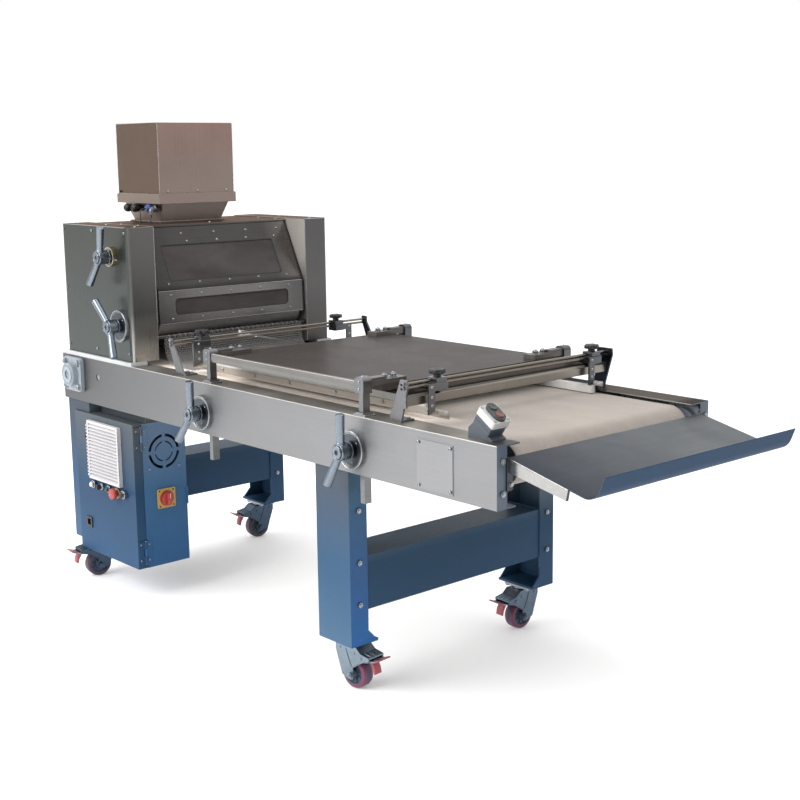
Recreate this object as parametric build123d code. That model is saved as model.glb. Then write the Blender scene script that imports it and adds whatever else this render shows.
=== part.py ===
from build123d import *
import os
from math import sin, cos, tan, radians, pi, atan2, hypot

os.makedirs("parts", exist_ok=True)

# ---------------------------------------------------------------- dimensions
# Working frame: X runs along the belt from the rails' rear end, Y across
# (the operator's near side is -Y), Z up from the floor. All in millimetres.
# The finished pieces are shifted so that the origin is at the bottom centre.
RAIL_L = 2193.0            # side rail length
HALF_W = 425.0             # outer face of the rails
RAIL_Z0, RAIL_Z1 = 660.0, 822.0
RAIL_T = 4.0
FLANGE_W = 80.0
BELT_HALF = 338.0          # half width of the belt
BELT_T = 4.0
ROLL_R = 53.0              # belt rollers
ROLL_Z = 755.0
DRIVE_X, TAIL_X = 90.0, 2128.0
SHAFT_R = 15.0
RUN = 0.05                 # radial running clearance
LEG_W, LEG_D, LEG_T = 148.0, 63.0, 5.0
LEG_X = (12.0, 1463.0)     # rear faces of the rear and front legs
LEG_Y = 418.0
LEG_Z0 = 154.0
BAR_Z0, BAR_Z1 = 246.0, 403.0
FOOT_T = 8.0
CASTER_X = (86.0, 1537.0)
CASTER_Y = 355.0
WHEEL_R, WHEEL_W = 45.0, 40.0
FORK_IN, FORK_OUT = 27.0, 31.0
TRAIL = 20.0
HEAD_X0, HEAD_X1 = 25.0, 475.0
HEAD_Y = 416.0
HEAD_IN = 315.0
HEAD_Z0, HEAD_Z1 = 834.0, 1283.0
ECC = (-10.0, 5.0)         # eccentricity of the upper and lower gap shafts
UP_X, UP_Z, UP_R = 364.0, 1183.0, 32.0
LO_X, LO_Z, LO_R = 407.0, 953.0, 44.0
UP_GAP, LO_GAP = 3.0, 8.0
ROLLER_HALF = 296.0
GUARD = [(360.0, 1270.0), (464.0, 1060.0), (468.0, 949.0)]
BIN = (-20.0, 262.0, 156.0, 1351.0, 1629.0)
CHUTE_Z0, CHUTE_Z1, COLLAR_Z1 = 1280.0, 1347.0, 1382.0
CHUTE_BOT = (32.0, 214.0, 125.0)
NECK = (-4.0, 248.0, 138.0)  # chute under the collar
LIFT_X = (902.0, 1641.0)   # lift shafts
LIFT_Z = 727.0
LIFT_SHAFT_R = 10.0
MODULE, TEETH = 2.0, 16
POST_Y = (391.0, 415.0)
BOARD = (884.0, 1682.0, 350.0, 884.0, 900.0)
ROD_X = (690.0, 1826.0)
ROD_Z = (926.0, 914.5)
ROD_R = 4.0
TRAY = [(2196.0, 788.0), (2474.0, 724.0), (2501.0, 792.0)]
TRAY_HALF = 388.0
CAB = (160.0, 466.0, -425.0, -224.0, 115.0, 621.0)
CAB_PANEL_X0 = 67.0
SHEET = 2.0

PARTS = {}


# ---------------------------------------------------------------- helpers
def box(x0, x1, y0, y1, z0, z1):
    return Pos((x0 + x1) / 2, (y0 + y1) / 2, (z0 + z1) / 2) * Box(x1 - x0, y1 - y0, z1 - z0)


def cyl_y(x, z, r, y0, y1):
    return Pos(x, (y0 + y1) / 2, z) * Rot(90, 0, 0) * Cylinder(r, abs(y1 - y0))


def cyl_x(y, z, r, x0, x1):
    return Pos((x0 + x1) / 2, y, z) * Rot(0, 90, 0) * Cylinder(r, abs(x1 - x0))


def cyl_z(x, y, r, z0, z1):
    return Pos(x, y, (z0 + z1) / 2) * Cylinder(r, abs(z1 - z0))


def hexa(r, h):
    # hexagonal head standing on z = 0, r across corners / 2
    return extrude(RegularPolygon(r, 6), h)


def prism_xz(pts, y0, y1):
    pl = Plane(origin=(0, y1, 0), x_dir=(1, 0, 0), z_dir=(0, -1, 0))
    return extrude(pl * Polygon(*pts, align=None), y1 - y0, dir=(0, -1, 0))


def prism_yz(pts, x0, x1):
    pl = Plane(origin=(x0, 0, 0), x_dir=(0, 1, 0), z_dir=(1, 0, 0))
    return extrude(pl * Polygon(*pts, align=None), x1 - x0, dir=(1, 0, 0))


def prism_xy(pts, z0, z1):
    pl = Plane(origin=(0, 0, z0), x_dir=(1, 0, 0), z_dir=(0, 0, 1))
    return extrude(pl * Polygon(*pts, align=None), z1 - z0, dir=(0, 0, 1))


def ribbon(pts, t):
    # closed outline of a bent sheet: pts on one face, thickness t to the left
    n = len(pts)
    off = []
    for i, p in enumerate(pts):
        a = pts[max(i - 1, 0)]
        b = pts[min(i + 1, n - 1)]
        d1 = (p[0] - a[0], p[1] - a[1]) if i > 0 else (b[0] - p[0], b[1] - p[1])
        d2 = (b[0] - p[0], b[1] - p[1]) if i < n - 1 else d1
        l1, l2 = hypot(*d1), hypot(*d2)
        n1 = (-d1[1] / l1, d1[0] / l1)
        n2 = (-d2[1] / l2, d2[0] / l2)
        m = (n1[0] + n2[0], n1[1] + n2[1])
        k = 2 * t / (m[0] ** 2 + m[1] ** 2)
        off.append((p[0] + m[0] * k, p[1] + m[1] * k))
    return list(pts) + off[::-1]


def rounded(pts, radii, seg=5):
    # replaces inner corners of an open polyline with short chords of an arc
    out = [pts[0]]
    for i in range(1, len(pts) - 1):
        r = radii[i - 1]
        p, a, b = pts[i], pts[i - 1], pts[i + 1]
        u = ((a[0] - p[0]), (a[1] - p[1]))
        v = ((b[0] - p[0]), (b[1] - p[1]))
        lu, lv = hypot(*u), hypot(*v)
        u = (u[0] / lu, u[1] / lu)
        v = (v[0] / lv, v[1] / lv)
        ca = u[0] * v[0] + u[1] * v[1]
        import_half = (1 - ca) / 2
        s = import_half ** 0.5
        c = (1 - import_half) ** 0.5
        d = r * c / s
        p1 = (p[0] + u[0] * d, p[1] + u[1] * d)
        p2 = (p[0] + v[0] * d, p[1] + v[1] * d)
        bis = (u[0] + v[0], u[1] + v[1])
        lb = hypot(*bis)
        ctr = (p[0] + bis[0] / lb * r / s, p[1] + bis[1] / lb * r / s)
        a1 = atan2(p1[1] - ctr[1], p1[0] - ctr[0])
        a2 = atan2(p2[1] - ctr[1], p2[0] - ctr[0])
        da = a2 - a1
        while da > pi:
            da -= 2 * pi
        while da < -pi:
            da += 2 * pi
        for k in range(seg + 1):
            t = a1 + da * k / seg
            out.append((ctr[0] + r * cos(t), ctr[1] + r * sin(t)))
    out.append(pts[-1])
    return out


def frustum(x0, x1, hy, z0, X0, X1, HY, Z1):
    a = Plane(origin=((x0 + x1) / 2, 0, z0)) * Rectangle(x1 - x0, 2 * hy)
    b = Plane(origin=((X0 + X1) / 2, 0, Z1)) * Rectangle(X1 - X0, 2 * HY)
    return loft([a, b])


def mirror_y(s):
    return mirror(s, about=Plane.XZ)


def add(name, *shapes):
    sol = []
    for s in shapes:
        sol += list(s.solids())
    PARTS[name] = sol


# ---------------------------------------------------------------- side rails
def rail_blank():
    web = box(0, RAIL_L, -HALF_W, -HALF_W + RAIL_T, RAIL_Z0, RAIL_Z1)
    top = box(0, RAIL_L, -HALF_W, -HALF_W + FLANGE_W, RAIL_Z1 - RAIL_T, RAIL_Z1)
    bot = box(0, RAIL_L, -HALF_W, -HALF_W + 66, RAIL_Z0, RAIL_Z0 + RAIL_T)
    end = box(RAIL_L - 4, RAIL_L, -HALF_W, -HALF_W + 36, RAIL_Z0, RAIL_Z1)
    r = web + top + bot + end
    r -= cyl_y(DRIVE_X, ROLL_Z, 19, -HALF_W - 5, -HALF_W + 10)
    for x in LIFT_X:
        r -= cyl_y(x, LIFT_Z, LIFT_SHAFT_R + RUN, -HALF_W - 5, -HALF_W + 10)
        for z0, z1 in ((RAIL_Z1 - 8, RAIL_Z1 + 4), (RAIL_Z0 - 4, RAIL_Z0 + 8)):
            r -= box(x + 17, x + 37, -POST_Y[1] - 1, -POST_Y[0] + 1, z0, z1)
    # post collars standing on the top flange
    for x in LIFT_X:
        c = box(x + 2, x + 52, -423, -383, RAIL_Z1, RAIL_Z1 + 4)
        c += box(x + 12, x + 42, -421, -385, RAIL_Z1, RAIL_Z1 + 10)
        c -= box(x + 17.6, x + 36.8, -POST_Y[1] - 0.8, -POST_Y[0] + 0.8, RAIL_Z1 - 1, RAIL_Z1 + 30)
        r += c
    return r


near = rail_blank()
near -= cyl_y(247, 759, 11, -HALF_W - 5, -HALF_W + 10)
near += box(1904, 2039, -HALF_W - SHEET, -HALF_W + 1, 670, 799)
far = mirror_y(rail_blank())
add("side_rails", near, far)

# ---------------------------------------------------------------- belt, bed
belt_in = ROLL_R + 0.3
belt_out = belt_in + BELT_T


def stadium(r, hy):
    s = cyl_y(DRIVE_X, ROLL_Z, r, -hy, hy) + cyl_y(TAIL_X, ROLL_Z, r, -hy, hy)
    return s + box(DRIVE_X, TAIL_X, -hy, hy, ROLL_Z - r, ROLL_Z + r)


add("conveyor_belt", stadium(belt_out, BELT_HALF) - stadium(belt_in, BELT_HALF + 5))
BELT_TOP = ROLL_Z + belt_out
bed_z = ROLL_Z + belt_in - 0.3
bed = box(155, 2062, -330, 330, bed_z - 3, bed_z)
bed += box(155, 2062, -330, -327, bed_z - 34, bed_z) + box(155, 2062, 327, 330, bed_z - 34, bed_z)
for x in (220, 620, 1240, 1860):
    bed += box(x, x + 50, -HALF_W + RAIL_T, HALF_W - RAIL_T, bed_z - 34, bed_z - 3)
    bed -= box(x + 3, x + 47, -HALF_W + RAIL_T + 3, HALF_W - RAIL_T - 3, bed_z - 40, bed_z - 6)
add("belt_bed", bed)


def drum(x, z, r, half, shaft_r, sy0, sy1, wall=5):
    d = cyl_y(x, z, r, -half, half) - cyl_y(x, z, r - wall, -half + 12, half - 12)
    return d + cyl_y(x, z, shaft_r, sy0, sy1)


add("drive_roller", drum(DRIVE_X, ROLL_Z, ROLL_R, BELT_HALF + 2, SHAFT_R, -HALF_W - 33, HALF_W + 33))
add("tail_roller", drum(TAIL_X, ROLL_Z, ROLL_R, BELT_HALF + 2, SHAFT_R, -HALF_W + 8, HALF_W - 8))


def flange_bearing(x, z, half=60.0):
    # square flange unit, base on y = 0, boss towards -y
    b = Pos(x, 0, z) * Rot(90, 0, 0) * extrude(RectangleRounded(2 * half, 2 * half, 16), 14)
    b += cyl_y(x, z, 42, -33, -13)
    b += cyl_y(x, z, 30, -36, -33)
    b -= cyl_y(x, z, SHAFT_R + RUN, -60, 30)
    for sx in (-1, 1):
        for sz in (-1, 1):
            b += Pos(x + sx * 43, -14, z + sz * 43) * Rot(90, 0, 0) * hexa(10, 8)
    return b


bn = Pos(0, -HALF_W, 0) * flange_bearing(DRIVE_X, ROLL_Z)
ti = Pos(0, -HALF_W + RAIL_T, 0) * mirror_y(flange_bearing(TAIL_X, ROLL_Z, 54))
add("roller_bearings", bn, mirror_y(bn), ti, mirror_y(ti))


# ---------------------------------------------------------------- leg frames
def leg_frame(x0):
    x1 = x0 + LEG_W
    s = None
    for sgn in (-1, 1):
        leg = box(x0, x1, -LEG_Y, -LEG_Y + LEG_D, LEG_Z0, RAIL_Z0)
        leg -= box(x0 + LEG_T, x1 - LEG_T, -LEG_Y + LEG_T, -LEG_Y + LEG_D + 5, LEG_Z0 - 1, RAIL_Z0 - LEG_T)
        leg += box(x0, x1, -LEG_Y, -LEG_Y + 98, LEG_Z0 - FOOT_T, LEG_Z0)
        for gx in (x0, x1 - LEG_T):
            y = -LEG_Y + LEG_D
            leg += prism_yz([(y - 1, LEG_Z0 - 1), (y + 30, LEG_Z0 - 1), (y - 1, LEG_Z0 + 32)], gx, gx + LEG_T)
        if sgn > 0:
            leg = mirror_y(leg)
        s = leg if s is None else s + leg
    yb = LEG_Y - LEG_D + 6
    bar = box(x0 + 4, x1 - 4, -yb, yb, BAR_Z0, BAR_Z1)
    bar -= box(x0 + 9, x1 - 9, -yb - 1, yb + 1, BAR_Z0 - 1, BAR_Z1 - 5)
    return s + bar


rear_frame = leg_frame(LEG_X[0])
# clearance window in the near rear leg for the power inlet's body
rear_frame -= box(118, 154, -LEG_Y - 3, -LEG_Y + 22, 203, 239)
add("leg_frames", rear_frame, leg_frame(LEG_X[1]))


# ---------------------------------------------------------------- casters
def caster_mount():
    s = Pos(0, 0, 143) * extrude(RectangleRounded(104, 70, 8), 3, both=True)
    s += cyl_z(0, 0, 33, 132.9, 141)
    s += cyl_z(0, 0, 7, 118, 134)
    s += Pos(0, 0, 111) * hexa(12, 8.5)
    for sx in (-1, 1):
        for sy in (-1, 1):
            s += Pos(sx * 41, sy * 26, 134.5) * hexa(7.5, 6)
    return s


def caster_fork():
    s = Pos(1, 0, 120) * extrude(RectangleRounded(80, 2 * FORK_OUT, 12), 12.5)
    # pressed cheeks, widest at the swivel, running forward as a hood
    side = [(-38, 132), (-38, 112), (-14, 40), (8, 31), (20, 29), (28, 33), (32, 45), (28, 66), (69, 92), (91, 97),
            (92, 105), (90, 108.5), (59, 114.5), (40, 132)]
    for y0, y1 in ((-FORK_OUT, -FORK_IN), (FORK_IN, FORK_OUT)):
        s += prism_xz(side, y0, y1)
    s += prism_xz([(36, 128), (57, 111.5), (89, 105.4), (92, 105), (90, 108.5), (59, 114.5), (40, 132), (36, 132)], -FORK_OUT, FORK_OUT)
    s -= cyl_z(0, 0, 14.5, 100, 119.9)
    s += cyl_y(TRAIL, WHEEL_R, 5, -FORK_OUT - 1, FORK_OUT + 1)
    s += Pos(TRAIL, -FORK_OUT, WHEEL_R) * Rot(90, 0, 0) * hexa(9, 6)
    s += Pos(TRAIL, FORK_OUT, WHEEL_R) * Rot(-90, 0, 0) * hexa(9, 6)
    s += cyl_y(58, 101, 4, -FORK_OUT - 2, FORK_OUT + 2)
    s -= cyl_z(0, 0, 7 + RUN, 100, 140)
    return s


def caster_wheel():
    w = Rot(90, 0, 0) * Cylinder(WHEEL_R, WHEEL_W)
    w = fillet(w.edges().filter_by(GeomType.CIRCLE), 6)
    groove = Rot(90, 0, 0) * (Cylinder(31, 60) - Cylinder(14, 60))
    w -= Pos(0, 38, 0) * groove
    w -= Pos(0, -38, 0) * groove
    w += Rot(90, 0, 0) * Cylinder(11, 2 * FORK_IN - 1)
    w -= Rot(90, 0, 0) * Cylinder(5 + RUN, 60)
    return Pos(TRAIL, 0, WHEEL_R) * w


def brake_pedal():
    hw = FORK_IN - 0.6
    s = cyl_y(58, 101, 8, -hw, hw)
    # wide upper tread and the narrow blade hanging under it
    s += prism_xz([(60, 94), (90, 94.5), (108, 98), (126, 107), (123, 110), (104, 103), (90, 101), (62, 104)], -hw, hw)
    s += prism_xz([(78, 96), (92, 72), (96, 57), (104, 60), (101, 80), (90, 97)], -16, 11)
    s -= cyl_y(58, 101, 4 + RUN, -FORK_OUT, FORK_OUT)
    return s


CASTERS = {
    "near_front": (CASTER_X[1], -CASTER_Y, radians(7)),
    "far_front": (CASTER_X[1], CASTER_Y, radians(-92)),
    "near_rear": (CASTER_X[0], -CASTER_Y, radians(-98)),
    "far_rear": (CASTER_X[0], CASTER_Y, radians(-98)),
}
mounts = []
for key, (cx, cy, a) in CASTERS.items():
    place = Pos(cx, cy, 0) * Rot(0, 0, a * 180 / pi)
    mounts.append(Pos(cx, cy, 0) * caster_mount())
    add("caster_fork_" + key, place * caster_fork())
    add("caster_wheel_" + key, place * caster_wheel())
    add("brake_pedal_" + key, place * brake_pedal())
add("caster_mounts", *mounts)

# ---------------------------------------------------------------- head
FIX_UP_X = UP_X + ECC[0] - 2 * UP_R - UP_GAP
FIX_LO_X = LO_X + ECC[1] - 2 * LO_R - LO_GAP
ECC_J = 15.0               # journal radius of the gap shafts
ECC_R = (26.0, 21.0)       # eccentric radii
HINGE_G = (357.0, 1274.0)  # guard hinge


def housing():
    h = box(HEAD_X0, HEAD_X1, -HEAD_Y, -HEAD_IN, HEAD_Z0, HEAD_Z1)
    h = fillet([e for e in h.edges().filter_by(Axis.Z) if e.center().Y < -HEAD_Y + 1], 15)
    hollow = box(HEAD_X0 + 3, HEAD_X1 - 3, -HEAD_Y + 3, -HEAD_IN - 10, HEAD_Z0 + 3, HEAD_Z1 - 3)
    h -= fillet([e for e in hollow.edges().filter_by(Axis.Z) if e.center().Y < -HEAD_Y + 5], 12)
    for x, z in ((UP_X, UP_Z), (LO_X, LO_Z), (FIX_UP_X, UP_Z), (FIX_LO_X, LO_Z)):
        h -= cyl_y(x, z, ECC_J + RUN, -HEAD_IN - 12, -HEAD_IN + 5)
    h -= cyl_y(HINGE_G[0], HINGE_G[1], 4 + RUN, -HEAD_IN - 8, -HEAD_IN + 5)
    return h


hn = housing()
for x, z in ((UP_X, UP_Z), (LO_X, LO_Z)):
    hn -= cyl_y(x, z, ECC_J + 1.5, -HEAD_Y - 2, -HEAD_Y + 6)
hf = mirror_y(housing())
sill = box(HEAD_X0, HEAD_X1 + 2, -HALF_W, -362, RAIL_Z1, HEAD_Z0)
# apron closing the rear of the head down to the belt
apron = box(HEAD_X0, HEAD_X0 + 3, -HEAD_IN, HEAD_IN, 790, HEAD_Z0)
add("head_housings", hn, hf, sill, mirror_y(sill), apron)

top = box(HEAD_X0, 352, -HEAD_IN, HEAD_IN, 1277, 1280)
top += box(349, 352, -HEAD_IN, HEAD_IN, 1262, 1280)
top += box(HEAD_X0, HEAD_X0 + 3, -HEAD_IN, HEAD_IN, HEAD_Z0, 1280)
top -= box(CHUTE_BOT[0] + 4, CHUTE_BOT[1] - 4, -CHUTE_BOT[2] + 4, CHUTE_BOT[2] - 4, 1270, 1290)
# feed plate behind the upper fixed roller
top += prism_xz(ribbon([(HEAD_X0 + 2, 1268), (243, 1193)], SHEET), -HEAD_IN + 6, HEAD_IN - 6)
add("head_cover", top)

half_r = ROLLER_HALF


def sheet_roller(x, z, r):
    return drum(x, z, r, half_r, ECC_J, -HEAD_IN - 40, HEAD_IN + 40, 7)


add("upper_fixed_roller", sheet_roller(FIX_UP_X, UP_Z, UP_R))
add("lower_fixed_roller", sheet_roller(FIX_LO_X, LO_Z, LO_R))


def gap_roller(x, z, r, ecc, er, wall):
    s = cyl_y(x + ecc, z, r, -half_r, half_r) - cyl_y(x + ecc, z, r - wall, -half_r + 12, half_r - 12)
    return s - cyl_y(x + ecc, z, er + RUN, -half_r - 5, half_r + 5)


add("upper_gap_roller", gap_roller(UP_X, UP_Z, UP_R, ECC[0], ECC_R[0], 3.5))
add("lower_gap_roller", gap_roller(LO_X, LO_Z, LO_R, ECC[1], ECC_R[1], 7.0))


def two_spoke(x, z, y_face, angles, tilt=7.0):
    # hub in front of the dial, two club-shaped spokes leaning outwards
    s = cyl_y(x, z, 24, y_face - 37, y_face)
    s += cyl_y(x, z, 19, y_face - 43, y_face - 36)
    for a in angles:
        d = Vector(cos(radians(a)) * cos(radians(tilt)), -sin(radians(tilt)), sin(radians(a)) * cos(radians(tilt)))
        base = Vector(x, y_face - 27, z)
        pl = Plane(origin=base + d * 8, z_dir=d)
        s += pl * Pos(0, 0, 49.5) * Cone(10.6, 12.75, 99)
        s += pl * Pos(0, 0, 100.5) * Cone(12.75, 9.5, 3)
    return s


def gap_handle(x, z, angles, ecc, er):
    s = cyl_y(x, z, ECC_J, -HEAD_Y - 16, -HEAD_IN + 6)
    s += cyl_y(x, z, ECC_J, HEAD_IN - 6, HEAD_IN + 24)
    s += cyl_y(x + ecc, z, er, -HEAD_IN + 4, HEAD_IN - 4)
    return s + two_spoke(x, z, -HEAD_Y - 15, angles)


add("upper_gap_handle", gap_handle(UP_X, UP_Z, (70, 240), ECC[0], ECC_R[0]))
add("lower_gap_handle", gap_handle(LO_X, LO_Z, (128, 292), ECC[1], ECC_R[1]))


def dial(x, z, y, r=54.0):
    d = cyl_y(x, z, r, y - 11, y) - cyl_y(x, z, r - 7, y - 13, y - 8)
    return d - cyl_y(x, z, ECC_J + 1.5, y - 20, y + 5)


add("dial_plates", dial(UP_X, UP_Z, -HEAD_Y, 33.0), dial(LO_X, LO_Z, -HEAD_Y),
    dial(LIFT_X[0], LIFT_Z, -HALF_W), dial(LIFT_X[1], LIFT_Z, -HALF_W))

# front guard, hinged along its top edge
GH = 302.0
guard = prism_xz(ribbon(GUARD, SHEET), -GH, GH)
guard += cyl_y(HINGE_G[0], HINGE_G[1], 4.5, -GH, GH) + cyl_y(HINGE_G[0], HINGE_G[1], 4, -HEAD_IN - 7, HEAD_IN + 7)
for s in (-1, 1):
    y0, y1 = sorted((s * GH, s * (GH - SHEET)))
    guard += prism_xz([GUARD[0], (GUARD[0][0] - 3, GUARD[0][1] + 2), (GUARD[1][0] - 16, GUARD[1][1]), (GUARD[2][0] - 9, GUARD[2][1]),
                       GUARD[2], GUARD[1]], y0, y1)
sl = atan2(GUARD[1][0] - GUARD[0][0], GUARD[0][1] - GUARD[1][1])


def on_upper(t):
    return (GUARD[0][0] + sin(sl) * t, GUARD[0][1] - cos(sl) * t)


UPW = (65.0, 199.0, 235.0)
UPW_Y = -8.0               # the upper window sits a little towards the near side
LOW = (978.0, 1034.0, 238.0)


def tilted(t0, t1, hy, depth0, depth1, r):
    m = on_upper((t0 + t1) / 2)
    nrm = Vector(cos(sl), 0, sin(sl))
    pl = Plane(origin=(m[0] + nrm.X * depth0, UPW_Y, m[1] + nrm.Z * depth0), x_dir=(0, 1, 0), z_dir=nrm)
    return extrude(pl * RectangleRounded(2 * hy, t1 - t0, r), depth1 - depth0)


def upright(z0, z1, hy, depth0, depth1, r):
    x = GUARD[1][0] + (GUARD[1][1] - (z0 + z1) / 2) * 4 / 111
    pl = Plane(origin=(x + depth0, 0, (z0 + z1) / 2), x_dir=(0, 1, 0), z_dir=(cos(radians(2.06)), 0, sin(radians(2.06))))
    return extrude(pl * RectangleRounded(2 * hy, z1 - z0, r), depth1 - depth0)


guard -= tilted(UPW[0], UPW[1], UPW[2], -12, 12, 10)
guard -= upright(LOW[0], LOW[1], LOW[2], -12, 12, 14)
add("front_guard", guard)
add("guard_windows", tilted(UPW[0] - 12, UPW[1] + 12, UPW[2] + 14, -4.2, -0.2, 8),
    upright(LOW[0] - 11, LOW[1] + 11, LOW[2] + 14, -4.2, -0.2, 10))

# chain-mesh net on its hanging rod, trailing on the belt
mesh_path = rounded([(470, 906), (474, 848), (508, BELT_TOP + 0.7), (640, BELT_TOP + 0.7)], [40, 46], 7)
net = prism_xz(ribbon(mesh_path, 3.0), -288, 288)
net += cyl_y(466, 908, 6, -HEAD_IN, HEAD_IN)
add("curling_mesh", net)

# ---------------------------------------------------------------- hopper
x0, x1, hy, z0, z1 = BIN
g = 0.5
bin_ = box(x0 + g, x1 - g, -hy + g, hy - g, z0, z1) - box(x0 + g + SHEET, x1 - g - SHEET, -hy + g + SHEET, hy - g - SHEET, z0 - 5, z1 + 5)
add("hopper_bin", bin_)
c = CHUTE_BOT
nk = NECK
outer = frustum(c[0], c[1], c[2], CHUTE_Z0, nk[0], nk[1], nk[2], CHUTE_Z1)
inner = frustum(c[0] + 2, c[1] - 2, c[2] - 2, CHUTE_Z0 - 0.1, nk[0] + 2, nk[1] - 2, nk[2] - 2, CHUTE_Z1 + 0.1)
collar = box(x0 - 5, x1 + 5, -hy - 5, hy + 5, CHUTE_Z1, COLLAR_Z1) - box(x0, x1, -hy, hy, CHUTE_Z1 - 1, COLLAR_Z1 + 1)
ledge = box(x0 - 5, x1 + 5, -hy - 5, hy + 5, CHUTE_Z1, CHUTE_Z1 + 4)
ledge -= box(nk[0] + 2, nk[1] - 2, -nk[2] + 2, nk[2] - 2, CHUTE_Z1 - 5, CHUTE_Z1 + 5)
foot = box(c[0] - 12, c[1] + 12, -c[2] - 12, c[2] + 12, CHUTE_Z0, CHUTE_Z0 + 3) - box(c[0] + 1, c[1] - 1, -c[2] + 1, c[2] - 1, CHUTE_Z0 - 1, CHUTE_Z0 + 5)
add("hopper_chute", (outer - inner) + collar + ledge + foot)


def stub(x, z, r, y0, y1):
    return cyl_y(x, z, r, y0, y1)


fz = 1330.0
cut = frustum(c[0] - 0.2, c[1] + 0.2, c[2] + 0.2, CHUTE_Z0, nk[0] - 0.2, nk[1] + 0.2, nk[2] + 0.2, CHUTE_Z1)
fit = []
for gx in (58.0, 108.0):
    gl = stub(gx, fz, 11, -158, -126) + stub(gx, fz, 14, -172, -156)
    fit.append(gl - cut)
plug = stub(196, fz, 13, -170, -126) + stub(196, fz, 10, -176, -169)
fit.append(plug - cut)
elbow = stub(226, fz, 9, -172, -126) + stub(226, fz, 13, -160, -150) + Pos(226, -172, fz) * Sphere(10) + cyl_z(226, -172, 8, fz - 22, fz)
fit.append(elbow - cut)
# two short leads from the connector and the elbow down to grommets on the cover
p1 = [(196, -176, fz), (196, -198, fz), (208, -206, fz - 22), (208, -206, 1280.4)]
p2 = [(226, -172, fz - 22), (226, -172, fz - 27), (236, -184, fz - 36), (236, -184, 1280.4)]


def lead(pts, r, rad):
    path = FilletPolyline(*pts, radius=rad)
    pl = Plane(origin=path @ 0, z_dir=path % 0)
    return sweep(pl * Circle(r), path=path)


fit.append(lead(p1, 2.4, 9.0))
fit.append(lead(p2, 2.4, 3.5))
for gx, gy in ((208, -206), (236, -184)):
    fit.append(cyl_z(gx, gy, 6, 1280, 1286) - cyl_z(gx, gy, 2.45, 1279.9, 1290))
add("hopper_fittings", *fit)

# ---------------------------------------------------------------- board lift
PR = MODULE * TEETH / 2.0
PITCH = pi * MODULE


def pinion(x, z, y0, y1):
    # straight-flanked teeth, one tooth space facing the rack at rest
    ro, rr = PR + 1.55, PR - 2.4
    pts = []
    for k in range(TEETH):
        a = 2 * pi * (k + 0.5) / TEETH
        wt, wr = 0.55 / ro, 1.75 / rr
        for da, r in ((-wr, rr), (-wt, ro), (wt, ro), (wr, rr)):
            pts.append((x + r * cos(a + da), z + r * sin(a + da)))
    return prism_xz(pts, y0, y1)


def lift_shaft(x, angles):
    s = cyl_y(x, LIFT_Z, LIFT_SHAFT_R, -HALF_W - 16, HALF_W + 6)
    s += pinion(x, LIFT_Z, -POST_Y[1] + 1, -POST_Y[0] - 1)
    s += pinion(x, LIFT_Z, POST_Y[0] + 1, POST_Y[1] - 1)
    return s + two_spoke(x, LIFT_Z, -HALF_W - 15, angles)


add("rear_lift_handle", lift_shaft(LIFT_X[0], (80, 237)))
add("front_lift_handle", lift_shaft(LIFT_X[1], (81, 245)))


BLOCK = (2.0, 40.0, -417.0, -386.0, 883.0, 928.0)   # clamp block on each post


def lift_post(x):
    xa, xb = x + 18.4, x + 36.0
    s = box(xa, xb, -POST_Y[1], -POST_Y[0], 578, BLOCK[4])
    # rack teeth centred on the shaft's height
    for k in range(-7, 6):
        zc = LIFT_Z + k * PITCH
        s += prism_xz([(xa + 0.5, zc - 1.75), (xa + 0.5, zc + 1.75), (x + PR - 1.4, zc + 0.6), (x + PR - 1.4, zc - 0.6)],
                      -POST_Y[1], -POST_Y[0])
    return s


def lift_block(x):
    s = box(x + BLOCK[0], x + BLOCK[1], BLOCK[2], BLOCK[3], BLOCK[4], BLOCK[5])
    return fillet([e for e in s.edges().filter_by(Axis.Y) if e.center().Z > BLOCK[5] - 1], 13)


def lift_arm(x):
    s = box(x - 10, x + 36, -372, -258, BOARD[4], 914)
    s += box(x + 6, x + 34, BLOCK[3], -330, BOARD[4], 922)
    for y in (-319, -286):
        s += Pos(x + 12, y, 914) * hexa(9, 8)
    return s


near_lift = [f(x) for x in LIFT_X for f in (lift_post, lift_block, lift_arm)]
tie = box(LIFT_X[0] + BLOCK[1], LIFT_X[1] + BLOCK[0], -411, -400, 888, 914)
add("lift_posts", tie, *near_lift, *[mirror_y(p) for p in near_lift])

bx0, bx1, bhy, bz0, bz1 = BOARD
board = box(bx0, bx1, -bhy, bhy, bz0, bz1) - box(bx0 + 3, bx1 - 3, -bhy + 3, bhy - 3, bz0 - 1, bz1 - 3)
for x in (1050, 1290, 1530):
    board += box(x, x + 30, -bhy + 2, bhy - 2, bz0 + 3, bz1 - 2)
add("pressure_board", board)


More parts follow.
